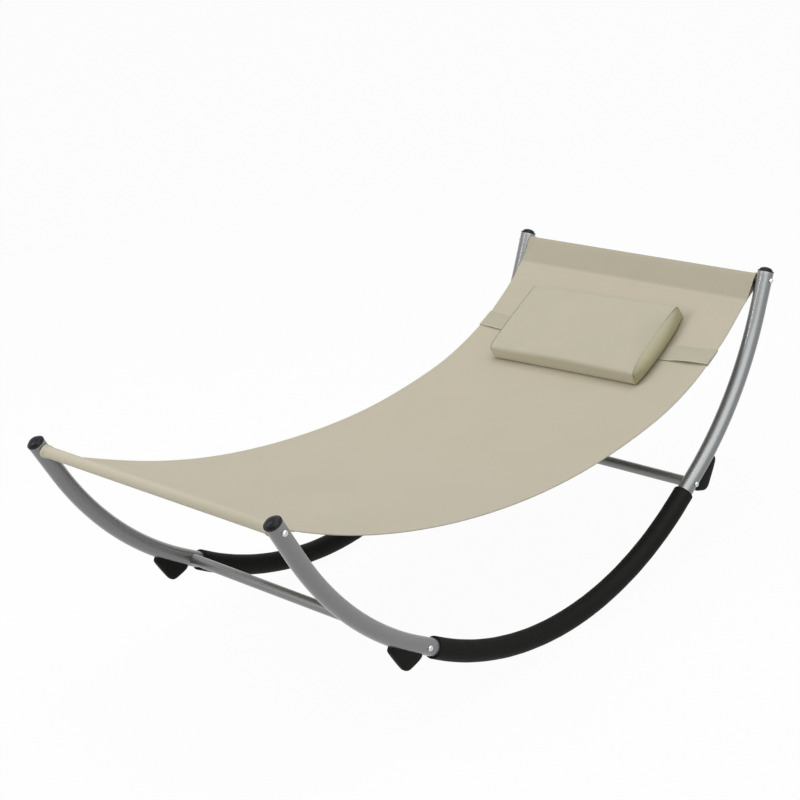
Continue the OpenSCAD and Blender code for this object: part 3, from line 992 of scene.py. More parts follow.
@dataclass
class Crossbars:
    """The two bars inside the sling's tunnels and the two low stretchers."""

    rail_r: float = 19.15 * MM
    wall: float = 1.5 * MM
    bar_r: float = 11 * MM
    stretcher_r: float = 12.5 * MM
    along: int = 24
    around: int = 48
    sharp: float = 40.0

    def bar(self, s: float, r: float) -> Shell:
        """A tube across the chair whose ends saddle the rails.

        A point at the angle a round the tube lies r cos a above the rail's middle line, so its
        end is at x = rail_x - sqrt(rail_r^2 - (r cos a)^2).

        Args:
            s: its place along the rails.
            r: its outer radius.

        Returns:
            The hollow tube.
        """
        a = np.arange(self.around) * TURN / self.around
        (centre,), (along,), (up,) = RAIL.frame_at(0.0, np.array([s]))
        rows = []
        share = np.linspace(-1, 1, self.along)
        for radius, places in ((r, share), (r - self.wall, share[::-1])):
            end_x = RAIL.side_x - np.sqrt(self.rail_r**2 - (radius * np.cos(a)) ** 2)
            spoke = radius * (np.cos(a)[:, None] * up + np.sin(a)[:, None] * along)
            x = places[:, None] * end_x
            rows.append(centre + spoke[None] + x[..., None] * ACROSS)
        return Shell.from_grid(np.concatenate(rows), closed=(True, True))

    def build(self, finishes: Finishes) -> dict[End, Piece]:
        """Makes the four bars.

        Args:
            finishes: the chair's finishes.

        Returns:
            The two sling bars, by end.
        """
        bars = {}
        for end in End:
            bar = self.bar(end.value * RAIL.bar_s, self.bar_r)
            bars[end] = bar.to_object(f"cross_bar_{end.word}", finishes.paint, self.sharp)
            finish_piece(bars[end], "frame", "frame_paint", f"{end.word}_bar")
            stretcher = self.bar(end.value * RAIL.joint_s, self.stretcher_r)
            piece = stretcher.to_object(f"cross_stretcher_{end.word}", finishes.paint, self.sharp)
            finish_piece(piece, "frame", "frame_paint", f"{end.word}_stretcher")
        return bars


@dataclass
class Bolts:
    """Button-headed bolts through the rails into the crossbars."""

    shank_r: float = 3 * MM
    point: float = 0.6 * MM
    head_r: float = 6.4 * MM
    head_h: float = 4 * MM
    rim_h: float = 0.9 * MM
    crown_r: float = 2.9 * MM
    lip_r: float = 2.5 * MM
    edge: float = 0.3 * MM
    socket: float = 2 * MM
    socket_edge: float = 0.15 * MM
    socket_deep: float = 1.9 * MM
    socket_drop: float = 0.02 * MM
    axis_r: float = 0.05 * MM
    drill_tip: float = 0.4 * MM
    seat_x: float = 387.1 * MM
    reach: float = 55.1 * MM
    turns: tuple[float, float, float, float] = (0.4, 1.1, 0.7, 0.2)
    dome_steps: int = 9
    around: int = 48
    sharp: float = 35.0

    def bolt(self) -> Shell:
        """One bolt along Z, its head's seat at 0.

        A section of (radius, z) is turned round Z. In the socket the radius is multiplied by
        1 / cos(b), with b the angle from the nearest flat's middle, which makes a hexagon. The
        head's top is a quarter ellipse from its rim to its crown.

        Returns:
            The bolt.
        """
        dome = np.linspace(0, 1, self.dome_steps)
        top_r = self.head_r - (self.head_r - self.crown_r) * dome
        top_z = self.rim_h + (self.head_h - self.rim_h) * np.sqrt(np.maximum(1 - (1 - dome) ** 2, 0))
        floor = self.head_h - self.socket_deep
        shank = [
            [self.axis_r, -self.reach],
            [self.shank_r - self.point, -self.reach],
            [self.shank_r, -self.reach + self.point],
            [self.shank_r, -self.edge],
        ]
        rim = [[self.head_r - self.edge, 0.0], [self.head_r, self.edge]]
        top = [*zip(top_r, top_z), (self.lip_r, self.head_h)]
        hexagon = [
            [self.socket + self.socket_edge, self.head_h - self.socket_drop],
            [self.socket, self.head_h - self.edge],
            [self.socket, floor],
            [self.axis_r, floor - self.drill_tip],
        ]
        section = np.array([*shank, *rim, *top, *hexagon])
        a = np.arange(self.around) * TURN / self.around
        flat = 1 / np.cos((a + math.pi / 6) % (math.pi / 3) - math.pi / 6)
        hexed = np.zeros(len(section))
        hexed[-len(hexagon) :] = 1
        r = section[:, :1] * (1 + hexed[:, None] * (flat - 1))
        grid = np.stack([r * np.cos(a), r * np.sin(a), np.broadcast_to(section[:, 1:], r.shape)], -1)
        return Shell.from_grid(grid, closed=(False, True), ends=Closing.FAN)

    def build(self, finishes: Finishes) -> None:
        """Makes each set of four bolts, each turned by its own angle as tightening leaves it.

        Args:
            finishes: the chair's finishes.
        """
        for name, node, s in (
            ("bolts_bars", "bar_bolts", RAIL.bar_s),
            ("bolts_joints", "joint_bolts", RAIL.joint_s),
        ):
            pairs = [(side.value, end.value) for side in Side for end in End]
            side, end = np.array(pairs, float).T
            centre, along, up = RAIL.frame_at(0.0, end * s)
            centre[:, 0] = side * self.seat_x
            turn = np.array(self.turns)[:, None]
            first = np.cos(turn) * along + np.sin(turn) * up
            out = side[:, None] * ACROSS
            axes = np.stack([first, np.cross(out, first), out], 1)
            piece = self.bolt().placed(centre, axes).to_object(name, finishes.zinc, self.sharp)
            finish_piece(piece, "frame", "zinc_steel", node)


@dataclass
class EndCaps:
    """Domed plugs in the rails' ends.

    chamfer is that of the plug's inner edge, along it and inwards. rib_half is half a rib's
    width at its foot and its crest. groove holds points of the groove
    round the dome, as depths under the rim's top and places in from its middle. dome_span is
    where the dome's points begin and end, as shares of its radius.
    """

    tube_r: float = 19 * MM
    lip: float = 0.5 * MM
    rim: float = 1.6 * MM
    rim_over: float = 0.9 * MM
    dome: float = 9.5 * MM
    plug_r: float = 16.6 * MM
    plug_wall: float = 2.6 * MM
    plug: float = 14 * MM
    floor: float = 1 * MM
    axis_r: float = 0.1 * MM
    chamfer: Pair = (0.6 * MM, 0.4 * MM)
    rib: float = 0.8 * MM
    rib_half: Pair = (0.7 * MM, 0.3 * MM)
    groove: tuple = ((0.35 * MM, 1.1 * MM), (0.1 * MM, 1.7 * MM))
    groove_end: float = 2 * MM
    gap: float = 0.1 * MM
    rim_steps: int = 9
    dome_steps: int = 16
    dome_span: Pair = (0.995, 0.01)
    around: int = 56
    sharp: float = 50.0

    def section(self) -> np.ndarray:
        """Section of (length, radius) from the plug's inner end to the dome's top.

        The dome rises by dome over a rounded rim and a shallow groove: its height over the
        radius r is dome sqrt(1 - (r / R)^2).

        Returns:
            The section, (n, 2).
        """
        outer = self.tube_r + self.lip
        wall = self.plug_r - self.plug_wall
        back, side = self.chamfer
        inner = [[-self.floor, self.axis_r], [-self.floor, wall], [-self.plug, wall]]
        inner += [[-self.plug, self.plug_r - side], [-self.plug + back, self.plug_r]]
        foot, crest = self.rib_half
        ribs = []
        for quarter in (3, 1):
            at = -self.plug * quarter / 4
            ribs += [[at - foot, self.plug_r], [at - crest, self.plug_r + self.rib]]
            ribs += [[at + crest, self.plug_r + self.rib], [at + foot, self.plug_r]]
        turn = np.linspace(-math.pi / 2, math.pi / 2, self.rim_steps)
        rim_r = (self.rim + self.rim_over) / 2
        rim = np.stack([rim_r + rim_r * np.sin(turn), outer - rim_r + rim_r * np.cos(turn)], -1)
        groove = [[2 * rim_r - deep, outer - rim_r - inward] for deep, inward in self.groove]
        edge_r = outer - rim_r - self.groove_end
        share = np.linspace(*self.dome_span, self.dome_steps)
        top = self.rim + self.dome
        low = 2 * rim_r
        dome = np.stack([low + (top - low) * np.sqrt(1 - share**2), edge_r * share], -1)
        seat = [[0.0, self.plug_r], [0.0, outer - rim_r]]
        return np.concatenate([inner, ribs, seat, rim[1:], groove, dome])

    def build(self, finishes: Finishes) -> None:
        """Makes the four caps.

        Args:
            finishes: the chair's finishes.
        """
        section = self.section()
        section[:, 0] += RAIL.tip + self.gap
        for end in End:
            for side in Side:
                x = side.value * RAIL.side_x
                shell = RAIL.turned(x, section * [end.value, 1], self.around, Closing.FAN)
                piece = shell.to_object(f"plug_{end.word}_{side.word}", finishes.cap, self.sharp)
                finish_piece(piece, "frame", "cap_plastic", f"{end.word}_cap_{side.word}")


@dataclass
class RockingStops:
    """The rubber feet that the rails come down on when the chair is rocked too far.

    circles are (place along the rail, height, radius) in mm, and head_shift is added to them
    at the head. plan and belly are the powers of the superellipses that round the stop off.
    tangents are the first and last directions, in degrees, that the outline's depth is taken in.
    """

    at: float = 521.04 * MM
    saddle_r: float = 19.15 * MM
    width: float = 24 * MM
    plan: float = 4.5
    belly: float = 3.6
    taper: float = 0.06
    taper_from: float = 25 * MM
    taper_to: float = 55 * MM
    least_deep: float = 22 * MM
    reach: Pair = (-33 * MM, 60 * MM)
    circles: tuple = ((52, -24, 8), (0, -41.5, 15), (-29, -23, 4))
    head_shift: tuple = (-4, -4.5, 1.5)
    tangents: Pair = (-175.0, -5.0)
    tangent_steps: int = 341
    stations: int = 49
    under: int = 25
    over: int = 14
    tip_share: float = 0.985
    sharp: float = 55.0

    def depth(self, a: np.ndarray, end: End) -> np.ndarray:
        """Depth of the outline under the rail's middle line.

        The outline is the lower hull of the three circles: the greatest, over directions b
        below the rail, of the depth where their tangent of that direction passes a. The head's
        stops hang a little lower and nearer the floor.

        Args:
            a: places along the rail, towards its end.
            end: the end of the chair that the stop is at.

        Returns:
            The depths.
        """
        b = np.radians(np.linspace(*self.tangents, self.tangent_steps))
        direction = np.stack([np.cos(b), np.sin(b)], -1)
        shift = np.array(self.head_shift) if end is End.HEAD else 0
        circles = np.array(self.circles) + shift
        reach = np.max([direction @ c[:2] + c[2] for c in circles], axis=0) * MM
        line = (reach[:, None] - direction[:, :1] * a) / direction[:, 1:]
        return -line.max(axis=0)

    def stop(self, side: Side, end: End) -> Shell:
        """One stop, as sections across the rail.

        At each station the half width w follows a superellipse in plan, and a point at the
        angle b has x = w |cos b|^(2/belly) and a depth from the tube's side down to the
        outline as |sin b|^(2/belly). The top of each section lies on the tube.

        Args:
            side: its side of the chair.
            end: its end of the chair.

        Returns:
            The stop.
        """
        low, high = self.reach
        middle, half = (low + high) / 2, (high - low) / 2
        t = np.sin(np.linspace(-1, 1, self.stations) * math.pi / 2 * self.tip_share)
        a = middle + half * t
        w = self.width / 2 * (1 - np.abs(t) ** self.plan) ** (1 / self.plan)
        deep = np.maximum(self.depth(a, end), self.least_deep)
        b = np.linspace(0, math.pi, self.under)
        power = 2 / self.belly
        x_low = np.sign(np.cos(b)) * np.abs(np.cos(b)) ** power
        fall = np.abs(np.sin(b)) ** power
        shoulder = np.sqrt(self.saddle_r**2 - w**2)
        narrow = 1 - self.taper * fall[None] * ease(deep, self.taper_from, self.taper_to)[:, None]
        x_under = w[:, None] * x_low[None] * narrow
        z_under = -(shoulder[:, None] + (deep - shoulder)[:, None] * fall[None])
        x_top = w[:, None] * np.linspace(-1, 1, self.over)[None, 1:-1]
        z_top = -np.sqrt(self.saddle_r**2 - x_top**2)
        x = np.concatenate([x_under, x_top], 1)
        z = np.concatenate([z_under, z_top], 1)
        centre, _, up = RAIL.frame_at(side.value * RAIL.side_x, end.value * (self.at + a))
        grid = centre[:, None] + x[..., None] * ACROSS + z[..., None] * up[:, None]
        return Shell.from_grid(grid, closed=(False, True), ends=Closing.FAN)

    def build(self, finishes: Finishes) -> None:
        """Makes the four stops.

        Args:
            finishes: the chair's finishes.
        """
        for end in End:
            for side in Side:
                name = f"stop_{end.word}_{side.word}"
                piece = self.stop(side, end).to_object(name, finishes.stop, self.sharp)
                finish_piece(piece, "frame", "stop_rubber", f"{end.word}_stop_{side.word}")


def dress_hidden_nodes(finishes: Finishes) -> None:
    """Gives the CAD nodes that stay their finishes.

    Args:
        finishes: the chair's finishes.
    """
    kept = {
        "floor_tube_right": finishes.paint,
        "floor_tube_left": finishes.paint,
        "bar_inserts": finishes.insert,
        "stretcher_inserts": finishes.insert,
        "stop_screws": finishes.zinc,
    }
    for node, material in kept.items():
        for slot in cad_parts[node].material_slots:
            slot.material = material


# Cloth


@dataclass(frozen=True)
class Stitch:
    """A row of stitches: their pitch, the share of it that is thread, and the thread's radius."""

    pitch: float
    fill: float
    radius: float
    steps: int = 7
    around: int = 6

    def one(self) -> Shell:
        """One stitch, a short rod along X.

        At the share t of half its length its radius is radius (1 - 0.9 |t|^3).

        Returns:
            The rod.
        """
        t = np.linspace(-1, 1, self.steps)
        r = self.radius * (1 - np.abs(t) ** 3 * 0.9)
        a = np.arange(self.around) * TURN / self.around
        x = (t * (self.pitch * self.fill) / 2)[:, None]
        grid = np.stack(np.broadcast_arrays(x, r[:, None] * np.cos(a), r[:, None] * np.sin(a)), -1)
        return Shell.from_grid(grid, closed=(False, True), ends=Closing.FAN)

    def row(self, line: np.ndarray, up: np.ndarray) -> Shell:
        """A row of stitches along a line.

        Args:
            line: points of the line, (n, 3).
            up: directions out of the cloth there, (n, 3).

        Returns:
            The stitches, half sunk in the cloth.
        """
        run = lengths_along(line)

        def at(table: np.ndarray, where: np.ndarray) -> np.ndarray:
            """Rows of a table at lengths along the line."""
            return np.stack([np.interp(where, run, table[:, k]) for k in range(3)], -1)

        middle = np.arange(self.pitch / 2, run[-1], self.pitch)
        along = at(line, middle + self.pitch / 4) - at(line, middle - self.pitch / 4)
        along /= np.linalg.norm(along, axis=1)[:, None]
        side = np.cross(at(up, middle), along)
        side /= np.linalg.norm(side, axis=1)[:, None]
        axes = np.stack([along, side, np.cross(along, side)], 1)
        return self.one().placed(at(line, middle), axes)

    def both_faces(self, line: np.ndarray, up: np.ndarray, thick: float) -> list[Shell]:
        """A row on each face of a cloth of the given thickness, over and under a line in it."""
        return [self.row(line + side * up * thick / 2, up) for side in (1, -1)]


def thin_shell(
    points: np.ndarray,
    normals: np.ndarray,
    thick: Union[float, np.ndarray],
    uv: np.ndarray,
    closed: bool,
) -> Shell:
    """A sheet given a thickness: points + and - normals times half of it.

    Args:
        points: the sheet's middle surface, (rows, columns, 3).
        normals: directions square to it, the same shape.
        thick: its thickness, one number or one at each point.
        uv: places on the cloth, (rows, columns, 2).
        closed: whether the last row meets the first.

    Returns:
        The closed shell, with narrow side walls.
    """
    away = normals * (np.broadcast_to(thick, points.shape[:2]) / 2)[..., None]
    ring = np.concatenate([points + away, (points - away)[:, ::-1]], 1)
    places = np.concatenate([uv, uv[:, ::-1], uv[:, :1]], 1)
    if closed:
        places = np.concatenate([places, places[-1:] * 2 - places[-2:-1]], 0)
    ends = Closing.OPEN if closed else Closing.STRIP
    return Shell.from_grid(ring, closed=(closed, True), ends=ends, uv=places)


def grid_normals(points: np.ndarray, closed: bool = False) -> np.ndarray:
    """Directions square to a grid of points: along its columns crossed with down its rows.

    Args:
        points: the grid, (rows, columns, 3).
        closed: whether the last row meets the first.

    Returns:
        The directions, the same shape.
    """
    down = np.roll(points, -1, 0) - np.roll(points, 1, 0) if closed else np.gradient(points, axis=0)
    normals = np.cross(np.gradient(points, axis=1), down)
    return normals / np.linalg.norm(normals, axis=-1, keepdims=True)


@dataclass(frozen=True)
class Creases:
    """Soft waves in the hanging cloth: long ones all over, and short puckers by the cross seams.

    long_waves and slant_waves are wave lengths across and along the sling. pucker_h,
    pucker_reach and fade are those at the foot and at the head. The long waves fade out within
    fade of a seam, and only 1 - calm of them is left by the head curve, where the pillow's
    strap pulls the cloth flat and slides.
    """

    long_h: float = 0.9 * MM
    long_waves: Pair = (0.42, 0.63)
    slant_h: float = 0.6 * MM
    slant_waves: Pair = (0.23, 0.8)
    pucker_h: Pair = (0.35 * MM, 0.25 * MM)
    pucker_reach: Pair = (0.035, 0.03)
    pucker_wave: float = 0.037
    dip: float = 0.45 * MM
    dip_width: float = 5 * MM
    fade: Pair = (0.2, 0.15)
    calm: float = 0.8
    calm_before: Pair = (0.3, 0.05)

    def height(self, x: np.ndarray, d: np.ndarray, foot: np.ndarray, head: np.ndarray) -> np.ndarray:
        """Height of the cloth's waves over the hanging line.

        The long waves are sines of x times sines of d, and sines of both. The puckers are sines
        of x, with a wandering phase, that fall off as exp(-distance / reach) from either seam,
        where the cloth dips in a groove.

        Args:
            x: places across the chair.
            d: lengths along the hanging line.
            foot: distances from the foot seam, 0 within its tunnel.
            head: distances from the head seam, 0 within its tunnel.

        Returns:
            The heights.
        """
        long_x, long_d = self.long_waves
        slant_x, slant_d = self.slant_waves
        long = self.long_h * np.sin(TURN * (x / long_x + 0.15)) * np.sin(TURN * (d / long_d + 0.1))
        slant = self.slant_h * np.sin(TURN * (x / slant_x + d / slant_d))
        wave = np.sin(TURN * (x / self.pucker_wave + 0.3 * np.sin(x * 19)))
        by_foot = self.pucker_h[0] * np.exp(-foot / self.pucker_reach[0])
        by_head = self.pucker_h[1] * np.exp(-head / self.pucker_reach[1])
        dip = -self.dip * (bump_at(foot, 0, self.dip_width) + bump_at(head, 0, self.dip_width))
        start, end = (HANG.head_start - before for before in self.calm_before)
        broad = (long + slant) * (1 - self.calm * ease(d, start, end))
        broad = broad * ease(foot, 0, self.fade[0]) * ease(head, 0, self.fade[1])
        return broad + wave * (by_foot + by_head) + dip


@dataclass
class Sling:
    """One sheet of cloth from bar to bar, with a sewn tunnel round each bar.

    seam and head_seam are the lengths along the hanging line from a bar to its cross seam.
    strap_at is the strap's place on the left and the right, past the start of the head curve,
    and tunnel_widens is for the foot and the head. touch_from and hem_fade are the distances
    between which the rails' touch and the cross seams stop telling. hem_columns are places in
    from the side edges, in mm, where the mesh has its own columns. steps are those of the
    flap, of each straight layer and of the ring in a tunnel.
    """

    half_width: float = 347 * MM
    thick: float = 1.2 * MM
    bar_r: float = 11 * MM
    gap: float = 0.3 * MM
    seam: float = 65 * MM
    head_seam: float = 57 * MM
    flap: float = 9 * MM
    lower_h: float = -1.25 * MM
    foot_drawn: float = 10.5 * MM
    foot_reach: float = 60 * MM
    strap_pull: float = 2.5 * MM
    strap_reach: float = 34 * MM
    strap_at: Pair = (226 * MM, 249 * MM)
    tunnel_widens: Pair = (12 * MM, 3 * MM)
    head_swell: float = 2.5 * MM
    head_swell_reach: float = 30 * MM
    touch_r: float = 19.9 * MM
    touch_from: Pair = (14 * MM, 40 * MM)
    hem: float = 9 * MM
    hem_thick: float = 1.1 * MM
    hem_roll: float = 2.4 * MM
    hem_step: float = 1.2 * MM
    hem_fade: Pair = (10 * MM, 26 * MM)
    hem_columns: tuple = (0, 1.2, 2.4, 7.6, 9.0, 10.4)
    flare: float = 2.0 * MM
    flare_reach: float = 6 * MM
    flare_r: float = 20 * MM
    across: int = 92
    down: int = 196
    steps: tuple[int, int, int] = (4, 16, 30)
    creases: Creases = Creases()
    stitch: Stitch = Stitch(3.4 * MM, 0.72, 0.32 * MM)

    def tunnel(self, seam: float) -> tuple[np.ndarray, np.ndarray]:
        """The cloth's way round a bar.

        It runs in under the sheet from the flap's edge to the bar, round it, and back over
        to the seam, on the tangents from the seam to a circle of the cloth's middle radius.

        Args:
            seam: length from the bar to the seam.

        Returns:
            Lengths from the bar and heights over the line.
        """
        r = self.bar_r + self.gap + self.thick / 2
        turn = math.acos(r / seam)
        low = -turn + math.atan2(self.lower_h, seam)
        flap_steps, layer_steps, ring_steps = self.steps
        a = np.linspace(low, turn - TURN, ring_steps)
        ring = np.stack([r * np.cos(a), r * np.sin(a)], -1)
        share = np.linspace(0, 1, layer_steps)[:, None]
        under = np.array([seam, self.lower_h]) * (1 - share) + ring[0] * share
        over = ring[-1] * (1 - share) + np.array([seam, 0.0]) * share
        flap_d = np.linspace(seam + self.flap, seam, flap_steps)
        flap = np.stack([flap_d, np.full(flap_steps, self.lower_h)], -1)
        way = np.concatenate([flap[:-1], under[:-1], ring[:-1], over])
        return way[:, 0], way[:, 1]

    def way(self) -> tuple[np.ndarray, np.ndarray, np.ndarray]:
        """The cloth's whole way from flap to flap.

        Returns:
            Lengths d along the hanging line, heights over it, and 1 in the tunnels, else 0.
        """
        reach, rise = self.tunnel(self.seam)
        head_reach, head_rise = self.tunnel(self.head_seam)
        main = np.linspace(self.seam, HANG.length - self.head_seam, self.down)[1:-1]
        d = np.concatenate([reach, main, HANG.length - head_reach[::-1]])
        flat = np.zeros(len(main))
        tunnel = np.concatenate([np.ones(len(reach)), flat, np.ones(len(head_reach))])
        return d, np.concatenate([rise, flat, head_rise[::-1]]), tunnel

    def half(self, d: np.ndarray, tunnel: np.ndarray, strap_at: float) -> np.ndarray:
        """Half width of the cloth on one side.

        It is the full half width less foot_drawn exp(-(d - seam) / foot_reach) past the foot
        seam, and less strap_pull under the strap. The tunnels widen evenly towards their bars,
        and the cloth also swells by head_swell at the head seam.

        Args:
            d: lengths along the hanging line.
            tunnel: 1 in the tunnels, else 0.
            strap_at: the strap's place on this side, past the head curve's start.

        Returns:
            The half widths.
        """
        from_foot = np.maximum(d - self.seam, 0)
        head = HANG.length - d
        drawn = self.foot_drawn * np.exp(-from_foot / self.foot_reach)
        drawn = drawn + self.strap_pull * bump_at(d, HANG.head_start + strap_at, self.strap_reach)
        into_foot = np.clip(1 - d / self.seam, 0, 1)
        into_head = np.clip(1 - head / self.head_seam, 0, 1)
        foot_wide, head_wide = self.tunnel_widens
        drawn = drawn - (foot_wide * into_foot + head_wide * into_head) * tunnel
        swell = self.head_swell * bump_at(head, self.head_seam, self.head_swell_reach)
        return self.half_width - (drawn - swell * (1 - 0.5 * into_head * tunnel))

    def against_rails(self, half: np.ndarray, d: np.ndarray, h: np.ndarray) -> np.ndarray:
        """Half width with the foot tunnel's ends lying against the rails.

        By the bar the cloth ends at x = rail_x - sqrt(r^2 - o^2), where o is its distance from
        the rail's middle line. Away from the bar it goes over to its own half width.

        Args:
            half: its own half width on the left and the right, (n, 2).
            d: lengths along the hanging line.
            h: heights over it.

        Returns:
            The half widths, (n, 2).
        """
        (centre,), _, (up,) = RAIL.frame_at(0.0, np.array([-RAIL.bar_s]))
        away = HANG.over(d, 0.0, h) - centre
        most = self.touch_r * 0.9
        offset = np.clip(away @ up, -most, most)
        reach = RAIL.side_x - np.sqrt(self.touch_r**2 - offset**2)
        near = 1 - ease(np.linalg.norm(away, axis=1), *self.touch_from)
        return half + near[:, None] * (reach[:, None] - half)

    def shares(self) -> np.ndarray:
        """Places across, -1 to 1, closer together at the hems along both sides.

        Returns:
            The places, from left to right.
        """
        inner = 1 - np.array(self.hem_columns) * MM / self.half_width
        middle = np.linspace(-inner[-1], inner[-1], self.across)[1:-1]
        return np.concatenate([-inner, middle, inner[::-1]])

    def hems(self, inward: np.ndarray, d: np.ndarray) -> np.ndarray:
        """Thickness that the folded edge adds.

        It rolls over at the side as 0.35 + 0.65 sqrt(inward / hem_roll), ends at hem, and fades
        out by the cross seams, where the layers lie close together.

        Args:
            inward: distances from the cloth's side edge.
            d: lengths along the hanging line, one for each row.

        Returns:
            The added thickness.
        """
        roll = 0.35 + 0.65 * np.sqrt(np.clip(inward / self.hem_roll, 0, 1))
        edge = roll * (1 - ease(inward, self.hem - self.hem_step, self.hem + self.hem_step))
        from_seam = np.minimum(np.abs(d - self.seam), np.abs(HANG.length - d - self.head_seam))
        return self.hem_thick * edge * ease(from_seam, *self.hem_fade)[:, None]

    def waves(self, x: np.ndarray, d: np.ndarray) -> np.ndarray:
        """Height of the cloth's creases, at places x across and lengths d along."""
        foot, head = d - self.seam, HANG.length - self.head_seam - d
        return self.creases.height(x, d, np.maximum(foot, 0), np.maximum(head, 0))

    def build(self, finishes: Finishes, bars: dict[End, Piece]) -> None:
        """Makes the sheet and its seams' stitches.

        The tunnels' mouths flare by flare exp(-inward / flare_reach) round the bars.

        Args:
            finishes: the chair's finishes.
            bars: the crossbars in the tunnels, by end; not used.
        """
        d, h, tunnel = self.way()
        run = lengths_along(HANG.over(d, 0.0, h)[:, 1:])
        share = self.shares()
        half = np.stack([self.half(d, tunnel, at) for at in self.strap_at], -1)
        half = self.against_rails(half, d, h)
        x = np.where(share < 0, share * half[:, :1], share * half[:, 1:])
        inward = np.where(x < 0, half[:, :1], half[:, 1:]) - np.abs(x)
        lift = self.waves(x, d[:, None]) * (1 - tunnel)[:, None]
        points = HANG.over(d[:, None], x, h[:, None] + lift)
        uv = np.stack([x, np.broadcast_to(run[:, None], x.shape)], -1)
        normals = grid_normals(points)
        extra = self.hems(inward, d)
        points += normals * (extra / 2 * tunnel[:, None])[..., None]
        round_bar = (np.hypot(np.minimum(d, HANG.length - d), h) < self.flare_r) * tunnel
        mouth = self.flare * np.exp(-inward / self.flare_reach) * round_bar[:, None]
        points += normals * mouth[..., None]
        sheet = thin_shell(points, normals, self.thick + extra, uv, closed=False)
        piece = sheet.to_object("sling_sheet", finishes.sling)
        # The head tunnel takes a painted shade: its band, tilted more steeply, is darker.
        painted_head_shade = (d > HANG.length / 2) & (tunnel > 0)
        mark(piece, "share", np.broadcast_to(painted_head_shade[:, None], (len(d), 2 * len(share))))
        finish_piece(piece, "frame", "sling_cloth", "sling")
        seams = []
        for k in np.flatnonzero(tunnel == 0)[[1, -2]]:
            seams += self.stitch.both_faces(points[k, 2:-2], normals[k, 2:-2], self.thick)
        thread = Shell.joined(seams).to_object("sling_stitches", finishes.thread)
        finish_piece(thread, "frame", "sling_cloth")


